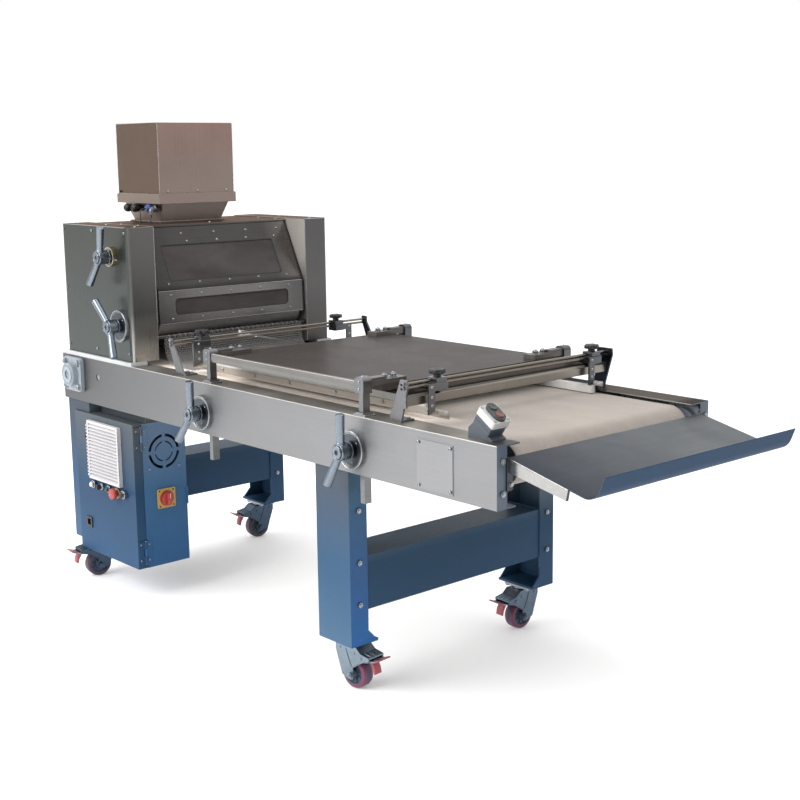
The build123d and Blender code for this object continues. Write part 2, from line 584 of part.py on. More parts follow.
# ---------------------------------------------------------------- side guides
def rod_frame(x, lean):
    s = None
    for y, yb in ((-1, 394.0), (1, 408.0)):
        y0, y1 = sorted((y * yb, y * (yb + 6)))
        if lean > 0:
            base, topx = (x - 62, x - 12), (x - 18, x + 14)
        else:
            base, topx = (x + 30, x + 76), (x - 14, x + 14)
        if lean > 0 and y > 0:
            base, topx = (x - 43, x - 3), (x - 34, x + 26)
        pl = prism_xz([(base[0], RAIL_Z1), (base[1], RAIL_Z1), (topx[1], 917), (topx[1] - 2, 937), (topx[0] + 4, 937), (topx[0], 925)], y0, y1)
        f0, f1 = sorted((y * yb, y * 352))
        pl += box(base[0], base[1], f0, f1, RAIL_Z1, RAIL_Z1 + 5)
        s = pl if s is None else s + pl
    for z in ROD_Z:
        s += cyl_y(x, z, ROD_R, -408, 422)
    if lean > 0:
        # folded bar below the rods, its web standing up behind them
        s += prism_xz(ribbon([(x + 3, 866), (x + 3, 888), (x - 9, 894), (x - 22.5, 895.5), (x - 22.5, 921)], 3.0), -396, 410)
        for y0, y1 in ((-400, -394), (408, 414)):
            s += box(x - 30, x + 8, y0, y1, 862, 900)
    return s


add("guide_rod_frames", rod_frame(ROD_X[0], -1), rod_frame(ROD_X[1], 1))

# steel guide strips (faces in y, heights), far side before mirroring
GY = {"near": (-290.0, -286.0), "far": (-338.0, -334.0)}
GZ = {"near": (824.8, 846.0), "far": (822.8, 846.0)}
LINER_W = 22.0                 # white liner on the strip's inner face
GUIDE_END = 1880.0
CLAMP_Y = {"near": (-280.0, -280.0), "far": (-280.0, -345.0)}   # rear, front; far side before mirroring
HANG = {"near": ((-330.0, -288.0), (-332.0, -310.0)), "far": ((-332.0, -310.0), (-332.0, -310.0))}
SCREW_X = {"near": (820, 996, 1178, 1401, 1611, 1802), "far": (880, 1057, 1236, 1460, 1666)}


def guide_bar(side):
    y0, y1 = GY[side]
    z0, z1 = GZ[side]
    s = box(ROD_X[0] - 14, GUIDE_END, y0, y1, z0, z1)
    for x, cy, h in zip(ROD_X, CLAMP_Y[side], HANG[side]):
        blk = box(x - 19, x + 19, cy - 18, cy + 18, 898, 933)
        for z in ROD_Z:
            blk -= cyl_y(x, z, ROD_R + RUN, cy - 30, cy + 30)
        blk -= cyl_z(x, cy, 4 + RUN, 930.2, 940)
        s += blk
        # hanger plate in front of the rods, down to a foot on the strip
        fx = x + 19
        s += box(fx - 1, fx + 5, h[0], h[1], 838, 920)
        s += box(fx - 1, fx + 5, min(h[0], cy - 18), max(h[1], cy + 18), 900, 920)
        s += box(fx - 1, fx + 5, min(h[0], y0), max(h[1], y0 + 2), 838, 846)
        if side == "near":
            s += cyl_x(y0 - 5.5, 841, 6, fx + 4, fx + 35)
        else:
            s += box(fx - 1, fx + 34, y0, y1 + 8, 838, 846)
    for x in SCREW_X[side]:
        s += Pos(x, y0, 838) * Rot(90, 0, 0) * Cylinder(5.0, 4)
    return s


def guide_liner(side):
    y0 = GY[side][1]
    y1 = y0 + LINER_W
    r, ym = LINER_W / 2, y0 + LINER_W / 2
    z0 = GZ["near"][0] if side == "near" else BELT_TOP + 2.0
    if side == "near":
        s = box(ROD_X[0] - 8, 1775, y0, y1, z0, 866) + cyl_z(1775, ym, r, z0, 880)
        return s + prism_xz([(1684, 860), (1775, 860), (1775, 880), (1700, 880), (1692, 875), (1688, 865)], y0, y1)
    return box(ROD_X[0] - 8, 1847, y0, y1, z0, 836) + cyl_z(1847, ym, r, z0, 836)


add("near_guide", guide_bar("near"))
add("near_guide_liner", guide_liner("near"))
add("far_guide", mirror_y(guide_bar("far")))
add("far_guide_liner", mirror_y(guide_liner("far")))


def clamp_knob(x, y):
    s = cyl_z(x, y, 11, 933.4, 942) + cyl_z(x, y, 4, 930.6, 934)
    head = cyl_z(x, y, 18, 941, 954)
    for k in range(6):
        a = 2 * pi * k / 6
        head += cyl_z(x + 16 * cos(a), y + 16 * sin(a), 7, 941, 954)
    return s + head


for key, x, y in (("near_rear", ROD_X[0], CLAMP_Y["near"][0]), ("near_front", ROD_X[1], CLAMP_Y["near"][1]),
                  ("far_rear", ROD_X[0], -CLAMP_Y["far"][0]), ("far_front", ROD_X[1], -CLAMP_Y["far"][1])):
    add("clamp_knob_" + key, clamp_knob(x, y))

# ---------------------------------------------------------------- catch tray
path = rounded(TRAY, [45], 9)
tray = prism_xz(ribbon(path, SHEET), -TRAY_HALF, TRAY_HALF)
sa = (TRAY[1][1] - TRAY[0][1]) / (TRAY[1][0] - TRAY[0][0])
for y in (-1, 1):
    y0, y1 = sorted((y * TRAY_HALF, y * (TRAY_HALF - 6)))
    zA = TRAY[0][1] + sa * 0
    zB = TRAY[0][1] + sa * 196
    tray += prism_xz([(TRAY[0][0] - 3, zA + 0.5), (TRAY[0][0] + 196, zB + 0.5), (TRAY[0][0] + 190, zB - 27), (TRAY[0][0] - 3, zA - 34)], y0, y1)
    t0, t1 = sorted((y * 394, y * 374))
    tray += box(RAIL_L, RAIL_L + 5, t0, t1, 706, 786)
    for z in (722, 764):
        tray += Pos(RAIL_L + 5, y * 381.0, z) * Rot(0, 90, 0) * hexa(5.5, 4)
add("catch_tray", tray)

# ---------------------------------------------------------------- station
ST_A = 33.0
ux, uz = cos(radians(ST_A)), -sin(radians(ST_A))      # down the slanted face
nx, nz = sin(radians(ST_A)), cos(radians(ST_A))       # out of the face
SC = (2137.0, 888.6)                                  # centre of the face
SY = -374.0


def st_pt(u, n):
    return (SC[0] + ux * u + nx * n, SC[1] + uz * u + nz * n)


pl_face = Plane(origin=(SC[0], SY, SC[1]), x_dir=(0, 1, 0), z_dir=(nx, 0, nz))


def st_plane(v, n):
    return Plane(pl_face.origin + pl_face.y_dir * v + pl_face.z_dir * n, x_dir=(0, 1, 0), z_dir=pl_face.z_dir)


cover = extrude(st_plane(0, -21) * RectangleRounded(58, 67, 6), 21)
lower = extrude(st_plane(0, -47) * RectangleRounded(54, 62, 4), 27)
wedge = prism_xz([st_pt(-29, -46), (2066, 848), (2066, RAIL_Z1), (2150, RAIL_Z1), (2150, 826), st_pt(29, -46)], SY - 24, SY + 24)
oval = extrude(st_plane(0, -1) * SlotOverall(62, 34, rotation=90), 9)
BTN = 14.0
station = wedge + lower + cover + oval
for v in (-BTN, BTN):
    station -= extrude(st_plane(v, -12) * Circle(11.5), 40)
add("station_box", station)
for name, v in (("start_button", BTN), ("stop_button", -BTN)):
    add(name, extrude(st_plane(v, -4) * Circle(11.2), 16))

# ---------------------------------------------------------------- cabinet
x0, x1, y0, y1, z0, z1 = CAB
shell = box(x0, x1, y0, y1, z0, z1) - box(x0 + SHEET, x1 + 5, y0 + SHEET, y1 - SHEET, z0 + SHEET, z1 - SHEET)
shell += box(CAB_PANEL_X0, x0 + 3, y0, y0 + SHEET, z0, z1)
shell += box(CAB_PANEL_X0, x0 + 1, y0, y0 + 6, z1 - SHEET, z1)
shell += box(x1 - SHEET, x1, y0, y0 + 44, z0, z1)
shell += box(x1 - SHEET, x1, y1 - 16, y1, z0, z1)
shell += box(x1 - SHEET, x1, y0, y1, z0, z0 + 16) + box(x1 - SHEET, x1, y0, y1, z1 - 16, z1)
# hanger plate up to the rail
shell += box(x0 + 1, x1, -372, -368, z1 - 1, RAIL_Z0)
VENT = (172.0, 384.0, 392.0, 600.0)
shell -= box(VENT[0] + 14, VENT[1] - 14, y0 - 3, y0 + 5, VENT[2] + 14, VENT[3] - 14)
DEV_Z = 371.0
ES = (349.0, 365.0)
shell -= cyl_y(ES[0], ES[1], 11.5, y0 - 3, y0 + 5)
shell -= box(121, 151, y0 - 3, y0 + 5, 206, 236)
DOOR_H = (x1 + 5.0, y0 + 28.0)          # hinge axis
HINGE_Z = (172.0, 570.0)
KN = 4.2
for z in HINGE_Z:
    shell += box(x1 - 0.5, x1 + 2.5, y0 + 2, y0 + 22, z - 40, z + 40)
    for za, zb in ((z - 40, z - 12.4), (z + 12.4, z + 40)):
        shell += cyl_z(DOOR_H[0], DOOR_H[1], KN, za, zb) + box(x1 + 1, x1 + 5, y0 + 16, y0 + 26, za, zb)
        shell -= cyl_z(DOOR_H[0], DOOR_H[1], 2 + RUN, za - 1, zb + 1)
add("cabinet_shell", shell)

dx0, dx1 = x1 + 0.8, x1 + 2.8
door = box(dx0, dx1, DOOR_H[1] + 5.5, y1, z0, z1)
door += box(dx0 - 0.0, dx1 + 8, y1 - 2, y1, z0 + 200, z0 + 260)
for z in HINGE_Z:
    door += cyl_z(DOOR_H[0], DOOR_H[1], 2, z - 40, z + 40)
    door += cyl_z(DOOR_H[0], DOOR_H[1], KN, z - 12, z + 12)
    door += box(x1 + 1, DOOR_H[0], DOOR_H[1], DOOR_H[1] + 8, z - 12, z + 12)
    door += box(dx0, x1 + 4.4, DOOR_H[1] + 5.5, DOOR_H[1] + 24, z - 40, z + 40)
FAN = (-309.0, 515.0)
for r, w in ((33.5, 2.2), (55.5, 4.8)):
    ring = cyl_x(FAN[0], FAN[1], r + w, dx0 - 5, dx1 + 5) - cyl_x(FAN[0], FAN[1], r - w, dx0 - 6, dx1 + 6)
    for a in (0, 90):
        ring -= Pos((dx0 + dx1) / 2, FAN[0], FAN[1]) * Rot(a, 0, 0) * Box(30, 200, 12)
    door -= ring
ISO = (-309.0, 350.0)
door -= cyl_x(ISO[0], ISO[1], 9, dx0 - 5, dx1 + 5)
add("cabinet_door", door)
iso = Pos(dx1, ISO[0], ISO[1]) * Rot(0, 90, 0) * extrude(RectangleRounded(68, 70, 5), 5)
iso += cyl_x(ISO[0], ISO[1], 27, dx1 + 4, dx1 + 7)
iso += box(dx0 - 52, dx0, ISO[0] - 24, ISO[0] + 24, ISO[1] - 24, ISO[1] + 24)
iso += cyl_x(ISO[0], ISO[1], 8.8, dx0 - 1, dx1 + 1)
iso -= cyl_x(ISO[0], ISO[1], 4 + RUN, dx1 - 1, dx1 + 10)
add("isolator_plate", iso)
kn = cyl_x(ISO[0], ISO[1], 22, dx1 + 7.4, dx1 + 17) + cyl_x(ISO[0], ISO[1], 4, dx1, dx1 + 8)
kn += box(dx1 + 16, dx1 + 30, ISO[0] - 6, ISO[0] + 6, ISO[1] - 22, ISO[1] + 22)
add("isolator_knob", kn)

grille = box(VENT[0], VENT[1], y0 - 14, y0, VENT[2], VENT[3]) - box(VENT[0] + 9, VENT[1] - 9, y0 - 20, y0 + 5, VENT[2] + 9, VENT[3] - 9)
n = 16
step = (VENT[3] - VENT[2] - 18) / n
for k in range(n):
    zc = VENT[2] + 9 + step * (k + 0.5)
    blade = [(y0 - 16, zc - 6), (y0 - 14.4, zc - 7.2), (y0 - 1, zc + 4), (y0 - 2.6, zc + 5.2)]
    grille += prism_yz(blade, VENT[0] + 2, VENT[1] - 2)
add("vent_grille", grille)

bez = []
for dx, r, h in ((194.0, 13, 12), (247.0, 12, 9), (296.0, 12, 9), (404.0, 14, 14)):
    b = cyl_y(dx, DEV_Z, r, y0 - h, y0) + cyl_y(dx, DEV_Z, r * 0.72, y0 - h - 6, y0 - h + 1)
    bez.append(b)
b = cyl_y(ES[0], ES[1], 19, y0 - 6, y0) - cyl_y(ES[0], ES[1], 11.5, y0 - 9, y0 + 1)
bez.append(b)
inlet = box(117, 155, y0 - 4, y0, 202, 240) + box(122, 150, y0 - 1, y0 + 26, 207, 235)
inlet -= box(125, 147, y0 - 6, y0 + 18, 210, 232)
for dy in (-5, 0, 5):
    inlet += box(136 + dy - 1.2, 136 + dy + 1.2, y0 + 3, y0 + 20, 218, 224)
bez.append(inlet)
add("panel_bezels", *bez)
es = cyl_y(ES[0], ES[1], 11.2, y0 - 14, y0 + 6) + cyl_y(ES[0], ES[1], 20, y0 - 30, y0 - 15) + cyl_y(ES[0], ES[1], 14, y0 - 16, y0 - 13)
add("estop_button", es)

# ---------------------------------------------------------------- fasteners
bolts = []


def bolt_y(x, y, z, r, h):
    bolts.append(Pos(x, y, z) * Rot(90, 0, 0) * hexa(r, h))


def bolt_x(x, y, z, r, h):
    bolts.append(Pos(x, y, z) * Rot(0, 90, 0) * hexa(r, h))


def button_y(x, y, z, r, h):
    bolts.append(cyl_y(x, z, r, y - h, y))


def button_x(x, y, z, r, h):
    bolts.append(cyl_x(y, z, r, x, x + h))


for x in (1912, 2031):
    for z in (678, 791):
        button_y(x, -HALF_W - SHEET, z, 3.6, 2.2)
for x0l in LEG_X:
    for y in (-386, 386):
        if x0l > 500 or y > 0:
            for z in (267, 390, 541):
                bolt_x(x0l + LEG_W, y, z, 8, 6)
for z in (700, 782):
    bolt_x(RAIL_L, -407, z, 8, 6)
    bolt_x(RAIL_L, 407, z, 8, 6)
# rivets low on the hopper's front face
for y in (-122, 0, 122):
    button_x(BIN[1] - 0.5, y, 1390, 4, 2)
# housing cover screws on the near and far outer faces
for x, z in ((44, 858), (44, 1061), (44, 1266), (240, 860), (240, 1266), (456, 862), (456, 1265)):
    button_y(x, -HEAD_Y, z, 4, 2.2)
    bolts.append(cyl_y(x, z, 4, HEAD_Y, HEAD_Y + 2.2))
add("frame_fasteners", *bolts)

# ---------------------------------------------------------------- export
lo = [1e9, 1e9, 1e9]
hi = [-1e9, -1e9, -1e9]
for sol in PARTS.values():
    for s in sol:
        bb = s.bounding_box()
        for k, (a, b) in enumerate(zip((bb.min.X, bb.min.Y, bb.min.Z), (bb.max.X, bb.max.Y, bb.max.Z))):
            lo[k] = min(lo[k], a)
            hi[k] = max(hi[k], b)
shift = Pos(-(lo[0] + hi[0]) / 2, -(lo[1] + hi[1]) / 2, -lo[2])
print("origin shift", [round(v, 4) for v in (-(lo[0] + hi[0]) / 2, -(lo[1] + hi[1]) / 2, -lo[2])])
print("size", [round(b - a, 2) for a, b in zip(lo, hi)])
for name, sol in PARTS.items():
    moved = [shift * s for s in sol]
    shape = moved[0] if len(moved) == 1 else Compound(moved)
    export_step(shape, "parts/%s.step" % name)
print(len(PARTS), "nodes")
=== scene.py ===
import bpy
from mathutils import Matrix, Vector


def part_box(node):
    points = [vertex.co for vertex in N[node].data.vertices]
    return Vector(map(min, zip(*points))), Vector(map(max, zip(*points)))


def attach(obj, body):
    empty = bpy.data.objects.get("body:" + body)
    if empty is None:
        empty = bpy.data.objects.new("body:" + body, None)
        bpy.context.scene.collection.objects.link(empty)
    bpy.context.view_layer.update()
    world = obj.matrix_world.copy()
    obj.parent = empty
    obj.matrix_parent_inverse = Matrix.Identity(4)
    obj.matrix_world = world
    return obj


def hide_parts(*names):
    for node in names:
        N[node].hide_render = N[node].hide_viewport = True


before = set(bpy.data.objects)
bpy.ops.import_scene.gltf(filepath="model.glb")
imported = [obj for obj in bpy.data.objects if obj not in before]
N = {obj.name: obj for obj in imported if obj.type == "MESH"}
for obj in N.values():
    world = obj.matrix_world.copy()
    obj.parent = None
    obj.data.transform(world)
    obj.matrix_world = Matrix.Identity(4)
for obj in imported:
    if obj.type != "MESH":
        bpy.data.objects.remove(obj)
import bpy, bmesh, math, random
from math import sin, cos, pi, radians, atan2, hypot
from mathutils import Vector, Matrix

random.seed(7)
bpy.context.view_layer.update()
lo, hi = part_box("side_rails")
OX, OY = -lo.x * 1000.0, 425.0 - hi.y * 1000.0   # machine frame (mm, X from the rails' rear end, Y from the belt's centre) to row frame


def P(x, y, z):
    return Vector(((x - OX) / 1000.0, (y - OY) / 1000.0, z / 1000.0))


# ------------------------------------------------------------------ materials
def new_mat(name):
    m = bpy.data.materials.new(name)
    m.use_nodes = True
    nt = m.node_tree
    nt.nodes.clear()
    out = nt.nodes.new("ShaderNodeOutputMaterial")
    b = nt.nodes.new("ShaderNodeBsdfPrincipled")
    nt.links.new(b.outputs[0], out.inputs[0])
    return m, nt, b


def coords(nt, scale=(1, 1, 1)):
    tc = nt.nodes.new("ShaderNodeTexCoord")
    mp = nt.nodes.new("ShaderNodeMapping")
    mp.inputs["Scale"].default_value = scale
    nt.links.new(tc.outputs["Object"], mp.inputs["Vector"])
    return mp.outputs[0]


def noise(nt, vec, scale, detail=4.0, rough=0.55, dist=0.0):
    n = nt.nodes.new("ShaderNodeTexNoise")
    n.inputs["Scale"].default_value = scale
    n.inputs["Detail"].default_value = detail
    n.inputs["Roughness"].default_value = rough
    n.inputs["Distortion"].default_value = dist
    nt.links.new(vec, n.inputs["Vector"])
    return n.outputs["Fac"]


def ramp(nt, fac, stops):
    r = nt.nodes.new("ShaderNodeValToRGB")
    e = r.color_ramp.elements
    while len(e) < len(stops):
        e.new(0.5)
    for k, (p, c) in enumerate(stops):
        e[k].position = p
        e[k].color = (c[0], c[1], c[2], 1.0) if len(c) == 3 else c
    nt.links.new(fac, r.inputs[0])
    return r.outputs[0]


def mixc(nt, fac, a, b, mode="MIX"):
    n = nt.nodes.new("ShaderNodeMix")
    n.data_type = "RGBA"
    n.blend_type = mode
    for sock, v in ((n.inputs[0], fac), (n.inputs[6], a), (n.inputs[7], b)):
        if isinstance(v, (int, float)):
            sock.default_value = v
        elif isinstance(v, tuple):
            sock.default_value = (v[0], v[1], v[2], 1.0)
        else:
            nt.links.new(v, sock)
    return n.outputs[2]


def maprange(nt, v, a, b, c, d):
    n = nt.nodes.new("ShaderNodeMapRange")
    n.inputs[1].default_value = a
    n.inputs[2].default_value = b
    n.inputs[3].default_value = c
    n.inputs[4].default_value = d
    nt.links.new(v, n.inputs[0])
    return n.outputs[0]


def math2(nt, op, a, b):
    n = nt.nodes.new("ShaderNodeMath")
    n.operation = op
    for k, v in enumerate((a, b)):
        if isinstance(v, (int, float)):
            n.inputs[k].default_value = v
        else:
            nt.links.new(v, n.inputs[k])
    return n.outputs[0]


def bump(nt, b, height, strength, dist=0.001, edge=0.0):
    n = nt.nodes.new("ShaderNodeBump")
    n.inputs["Strength"].default_value = strength
    n.inputs["Distance"].default_value = dist
    nt.links.new(height, n.inputs["Height"])
    if edge > 0:
        bv = nt.nodes.new("ShaderNodeBevel")
        bv.samples = 4
        bv.inputs["Radius"].default_value = edge
        nt.links.new(bv.outputs[0], n.inputs["Normal"])
    nt.links.new(n.outputs[0], b.inputs["Normal"])


def sc(c, k):
    return tuple(min(1.0, v * k) for v in c)


def graded(nt, c, grads):
    """paints light and shade into a colour: multiplies it by a tint that fades in along one or two machine axes:
    (axis, from mm, to mm, ..., tint)
    """
    for g in grads:
        tc = nt.nodes.new("ShaderNodeTexCoord")
        sx = nt.nodes.new("ShaderNodeSeparateXYZ")
        nt.links.new(tc.outputs["Object"], sx.inputs[0])
        f = None
        for k in range(0, len(g) - 1, 3):
            axis, a, b = g[k:k + 3]
            off = (OX, OY, 0.0)[axis]
            h = maprange(nt, sx.outputs[axis], (a - off) / 1000.0, (b - off) / 1000.0, 0.0, 1.0)
            f = h if f is None else math2(nt, "MULTIPLY", f, h)
        m = mixc(nt, 1.0, c, g[-1], "MULTIPLY")
        c = mixc(nt, f, c, m)
    return c


def steel(name, col, rough=0.3, streak=(3, 220, 220), amt=0.18, cloud=0.16, edge=0.0012, metal=1.0, tint=None, tint_z=None, graze=None, grads=(), spec=0.5):
    m, nt, b = new_mat(name)
    st = noise(nt, coords(nt, streak), 1.0, 5.0, 0.62)
    cl = noise(nt, coords(nt), 5.5, 5.0, 0.6, 0.4)
    fine = noise(nt, coords(nt), 420.0, 2.0, 0.5)
    c1 = ramp(nt, st, [(0.28, sc(col, 1 - amt)), (0.72, sc(col, 1 + amt))])
    c2 = ramp(nt, cl, [(0.3, (1 - cloud,) * 3), (0.7, (1 + 0 * cloud,) * 3)])
    c = mixc(nt, 1.0, c1, c2, "MULTIPLY")
    if tint is not None:
        tc = nt.nodes.new("ShaderNodeTexCoord")
        sx = nt.nodes.new("ShaderNodeSeparateXYZ")
        nt.links.new(tc.outputs["Object"], sx.inputs[0])
        f = maprange(nt, sx.outputs[2], tint_z[0], tint_z[1], 0.0, 1.0)
        c = mixc(nt, f, c, mixc(nt, 1.0, c, tint, "MULTIPLY"))
    c = graded(nt, c, grads)
    nt.links.new(c, b.inputs["Base Color"])
    if graze is not None:
        b.inputs["Specular Tint"].default_value = (graze[0], graze[1], graze[2], 1.0)
    b.inputs["Specular IOR Level"].default_value = spec
    r = maprange(nt, math2(nt, "ADD", math2(nt, "MULTIPLY", cl, 0.6), math2(nt, "MULTIPLY", st, 0.4)), 0.3, 0.7, max(0.03, rough - 0.07), rough + 0.09)
    nt.links.new(r, b.inputs["Roughness"])
    b.inputs["Metallic"].default_value = metal
    h = math2(nt, "ADD", st, math2(nt, "MULTIPLY", fine, 0.3))
    bump(nt, b, h, 0.05, 0.0006, edge)
    return m


def paint(name, col, rough=0.38, var=0.10, low=None, low_z=(0.0, 0.5), edge=0.0015, peel=0.05, spec=0.5, coat=0.0, grads=()):
    m, nt, b = new_mat(name)
    cl = noise(nt, coords(nt), 4.0, 5.0, 0.55, 0.3)
    fine = noise(nt, coords(nt), 900.0, 2.0, 0.5)
    speck = noise(nt, coords(nt), 160.0, 3.0, 0.6)
    c = ramp(nt, cl, [(0.25, sc(col, 1 - var)), (0.75, sc(col, 1 + var))])
    if low is not None:
        tc = nt.nodes.new("ShaderNodeTexCoord")
        sx = nt.nodes.new("ShaderNodeSeparateXYZ")
        nt.links.new(tc.outputs["Object"], sx.inputs[0])
        f = maprange(nt, sx.outputs[2], low_z[0], low_z[1], 1.0, 0.0)
        cl2 = ramp(nt, cl, [(0.25, sc(low, 1 - var)), (0.75, sc(low, 1 + var))])
        c = mixc(nt, f, c, cl2)
    c = mixc(nt, 0.25, c, ramp(nt, speck, [(0.35, (0.75,) * 3), (0.6, (1.0,) * 3)]), "MULTIPLY")
    c = graded(nt, c, grads)
    nt.links.new(c, b.inputs["Base Color"])
    nt.links.new(maprange(nt, speck, 0.3, 0.7, rough - 0.06, rough + 0.08), b.inputs["Roughness"])
    b.inputs["Specular IOR Level"].default_value = spec
    b.inputs["Coat Weight"].default_value = coat
    bump(nt, b, math2(nt, "ADD", fine, math2(nt, "MULTIPLY", cl, 0.4)), peel, 0.0008, edge)
    return m


def canvas(name, col, grads=()):
    m, nt, b = new_mat(name)
    tc = coords(nt)
    wv = nt.nodes.new("ShaderNodeTexWave")
    wv.wave_type = "BANDS"
    wv.bands_direction = "X"
    wv.inputs["Scale"].default_value = 170.0
    wv.inputs["Distortion"].default_value = 0.6
    nt.links.new(tc, wv.inputs["Vector"])
    wy = nt.nodes.new("ShaderNodeTexWave")
    wy.wave_type = "BANDS"
    wy.bands_direction = "Y"
    wy.inputs["Scale"].default_value = 170.0
    wy.inputs["Distortion"].default_value = 0.6
    nt.links.new(tc, wy.inputs["Vector"])
    weave = math2(nt, "MULTIPLY", wv.outputs["Fac"], wy.outputs["Fac"])
    cl = noise(nt, coords(nt, (1.0, 2.2, 1.0)), 3.2, 6.0, 0.6, 0.5)
    fl = noise(nt, coords(nt), 60.0, 4.0, 0.65)
    c = ramp(nt, cl, [(0.25, sc(col, 0.86)), (0.55, col), (0.8, sc(col, 1.06))])
    c = mixc(nt, 0.3, c, ramp(nt, weave, [(0.0, (0.78, 0.76, 0.72)), (0.7, (1, 1, 1))]), "MULTIPLY")
    c = mixc(nt, 0.22, c, ramp(nt, fl, [(0.35, (0.75, 0.72, 0.66)), (0.6, (1, 1, 1))]), "MULTIPLY")
    c = graded(nt, c, grads)
    nt.links.new(c, b.inputs["Base Color"])
    nt.links.new(maprange(nt, fl, 0.3, 0.7, 0.78, 0.95), b.inputs["Roughness"])
    b.inputs["Specular IOR Level"].default_value = 0.15
    b.inputs["Sheen Weight"].default_value = 0.15
    bump(nt, b, math2(nt, "ADD", weave, math2(nt, "MULTIPLY", fl, 0.8)), 0.25, 0.0006)
    return m


def plastic(name, col, rough=0.35, var=0.08, spec=0.5, edge=0.0008, peel=0.04):
    return paint(name, col, rough, var, edge=edge, peel=peel, spec=spec)


def tinted(name, col, alpha_t=0.5, rough=0.08):
    m, nt, b = new_mat(name)
    cl = noise(nt, coords(nt, (1, 1, 3)), 5.0, 4.0, 0.5, 0.6)
    sm = noise(nt, coords(nt, (1, 1, 1)), 30.0, 4.0, 0.6)
    c = ramp(nt, cl, [(0.3, sc(col, 0.8)), (0.7, sc(col, 1.25))])
    nt.links.new(c, b.inputs["Base Color"])
    nt.links.new(maprange(nt, sm, 0.3, 0.7, rough, rough + 0.1), b.inputs["Roughness"])
    b.inputs["Transmission Weight"].default_value = alpha_t
    b.inputs["IOR"].default_value = 1.15
    bump(nt, b, cl, 0.02, 0.001)
    return m


M = {}
# painted reflection and shade: the rail steel is darkened towards the rear end and lightened a little towards the
# front along X
M["rail"] = steel("rail_steel", (0.236, 0.237, 0.241), 0.42, (2.5, 260, 260), 0.05, 0.10, grads=((0, 1000, 60, (0.56, 0.58, 0.585)), (0, 1000, 1500, (1.10, 1.10, 1.10))))
# painted light: a lighter copy of the rail steel for the rails' top faces; painted shade: darker at the very front end
# and much darker on the far rail's top
M["rail_top"] = steel("rail_top_steel", (0.50, 0.48, 0.445), 0.40, (2.5, 260, 260), 0.05, 0.10, graze=(0.45, 0.42, 0.39), grads=((0, 2120, 2165, (0.42, 0.46, 0.52)), (1, 0, 300, (0.30, 0.29, 0.29))))
M["rail_end"] = paint("rail_end", (0.085, 0.115, 0.155), 0.5)
M["galv"] = steel("galv_steel", (0.40, 0.41, 0.42), 0.5, (8, 8, 8), 0.2, 0.25)
# painted light: the belt canvas is made 2.8 times lighter along its near edge band (Y below -240), from the rear up to
# X 1810
M["canvas"] = canvas("belt_canvas", (0.335, 0.298, 0.268), ((1, -215, -240, 0, 1890, 1810, (2.8, 2.8, 2.8)),))
# painted light: the leg paint lightens towards the floor and turns lighter and greyer towards the top
M["blue"] = paint("blue_paint", (0.034, 0.085, 0.160), 0.42, 0.06, coat=0.0, spec=0.10, grads=((2, 350, 150, (1.35, 1.35, 1.38)), (2, 380, 640, (2.7, 1.36, 0.80))))
M["zinc"] = steel("zinc_plate", (0.34, 0.37, 0.40), 0.30, (60, 60, 60), 0.12, 0.2, 0.0008)
# painted shade: a darker zinc for the sockets of the guide screws
M["zinc_dark"] = steel("zinc_dark", (0.16, 0.18, 0.205), 0.36, (60, 60, 60), 0.12, 0.2, 0.0008)
M["bearing"] = paint("bearing_enamel", (0.24, 0.275, 0.31), 0.38, 0.14, edge=0.002, coat=0.1)
# painted light: the housing steel turns darker and warmer towards the top
M["head"] = steel("head_steel", (0.088, 0.100, 0.095), 0.30, (240, 240, 2.5), 0.05, 0.12, grads=((2, 1000, 1283, (0.88, 0.82, 0.78)),))
# painted reflection: a warm brown copy of the head steel for the head cover and the housings' top faces
M["head_top"] = steel("head_top_steel", (0.24, 0.175, 0.14), 0.36, (240, 3, 240), 0.06, 0.14, graze=(0.30, 0.22, 0.18))
# painted light and shade: the guard darkens towards its near end, lightens on the far end of its upper face and
# darkens just above the fold
M["guard"] = steel("guard_steel", (0.079, 0.075, 0.073), 0.27, (240, 2.5, 240), 0.05, 0.14, grads=((1, -170, -300, (0.66, 0.66, 0.68)), (1, 200, 300, 2, 1064, 1080, (2.1, 2.0, 1.9)), (2, 1082, 1068, (0.6, 0.6, 0.6))))
# painted light: the hopper steel turns warmer towards its top rim
M["hopper"] = steel("hopper_steel", (0.275, 0.215, 0.19), 0.32, (200, 200, 2.2), 0.04, 0.10, grads=((2, 1480, 1629, (1.16, 1.0, 0.95)),))
M["bright"] = steel("bright_steel", (0.36, 0.355, 0.345), 0.22, (90, 6, 90), 0.10, 0.16)
M["rod"] = steel("rod_steel", (0.235, 0.212, 0.18), 0.16, (160, 4, 160), 0.10, 0.12)
M["chrome"] = steel("chrome_parts", (0.40, 0.415, 0.435), 0.11, (40, 40, 40), 0.08, 0.15, 0.001)
M["dial"] = steel("dial_alloy", (0.26, 0.275, 0.29), 0.3, (120, 120, 120), 0.12, 0.2)
M["brass"] = steel("dial_brass", (0.40, 0.31, 0.14), 0.3, (120, 120, 120), 0.15, 0.2)
M["board"] = steel("board_steel", (0.072, 0.061, 0.057), 0.31, (3, 200, 200), 0.04, 0.10, graze=(0.066, 0.058, 0.055), metal=0.30, spec=0.04)
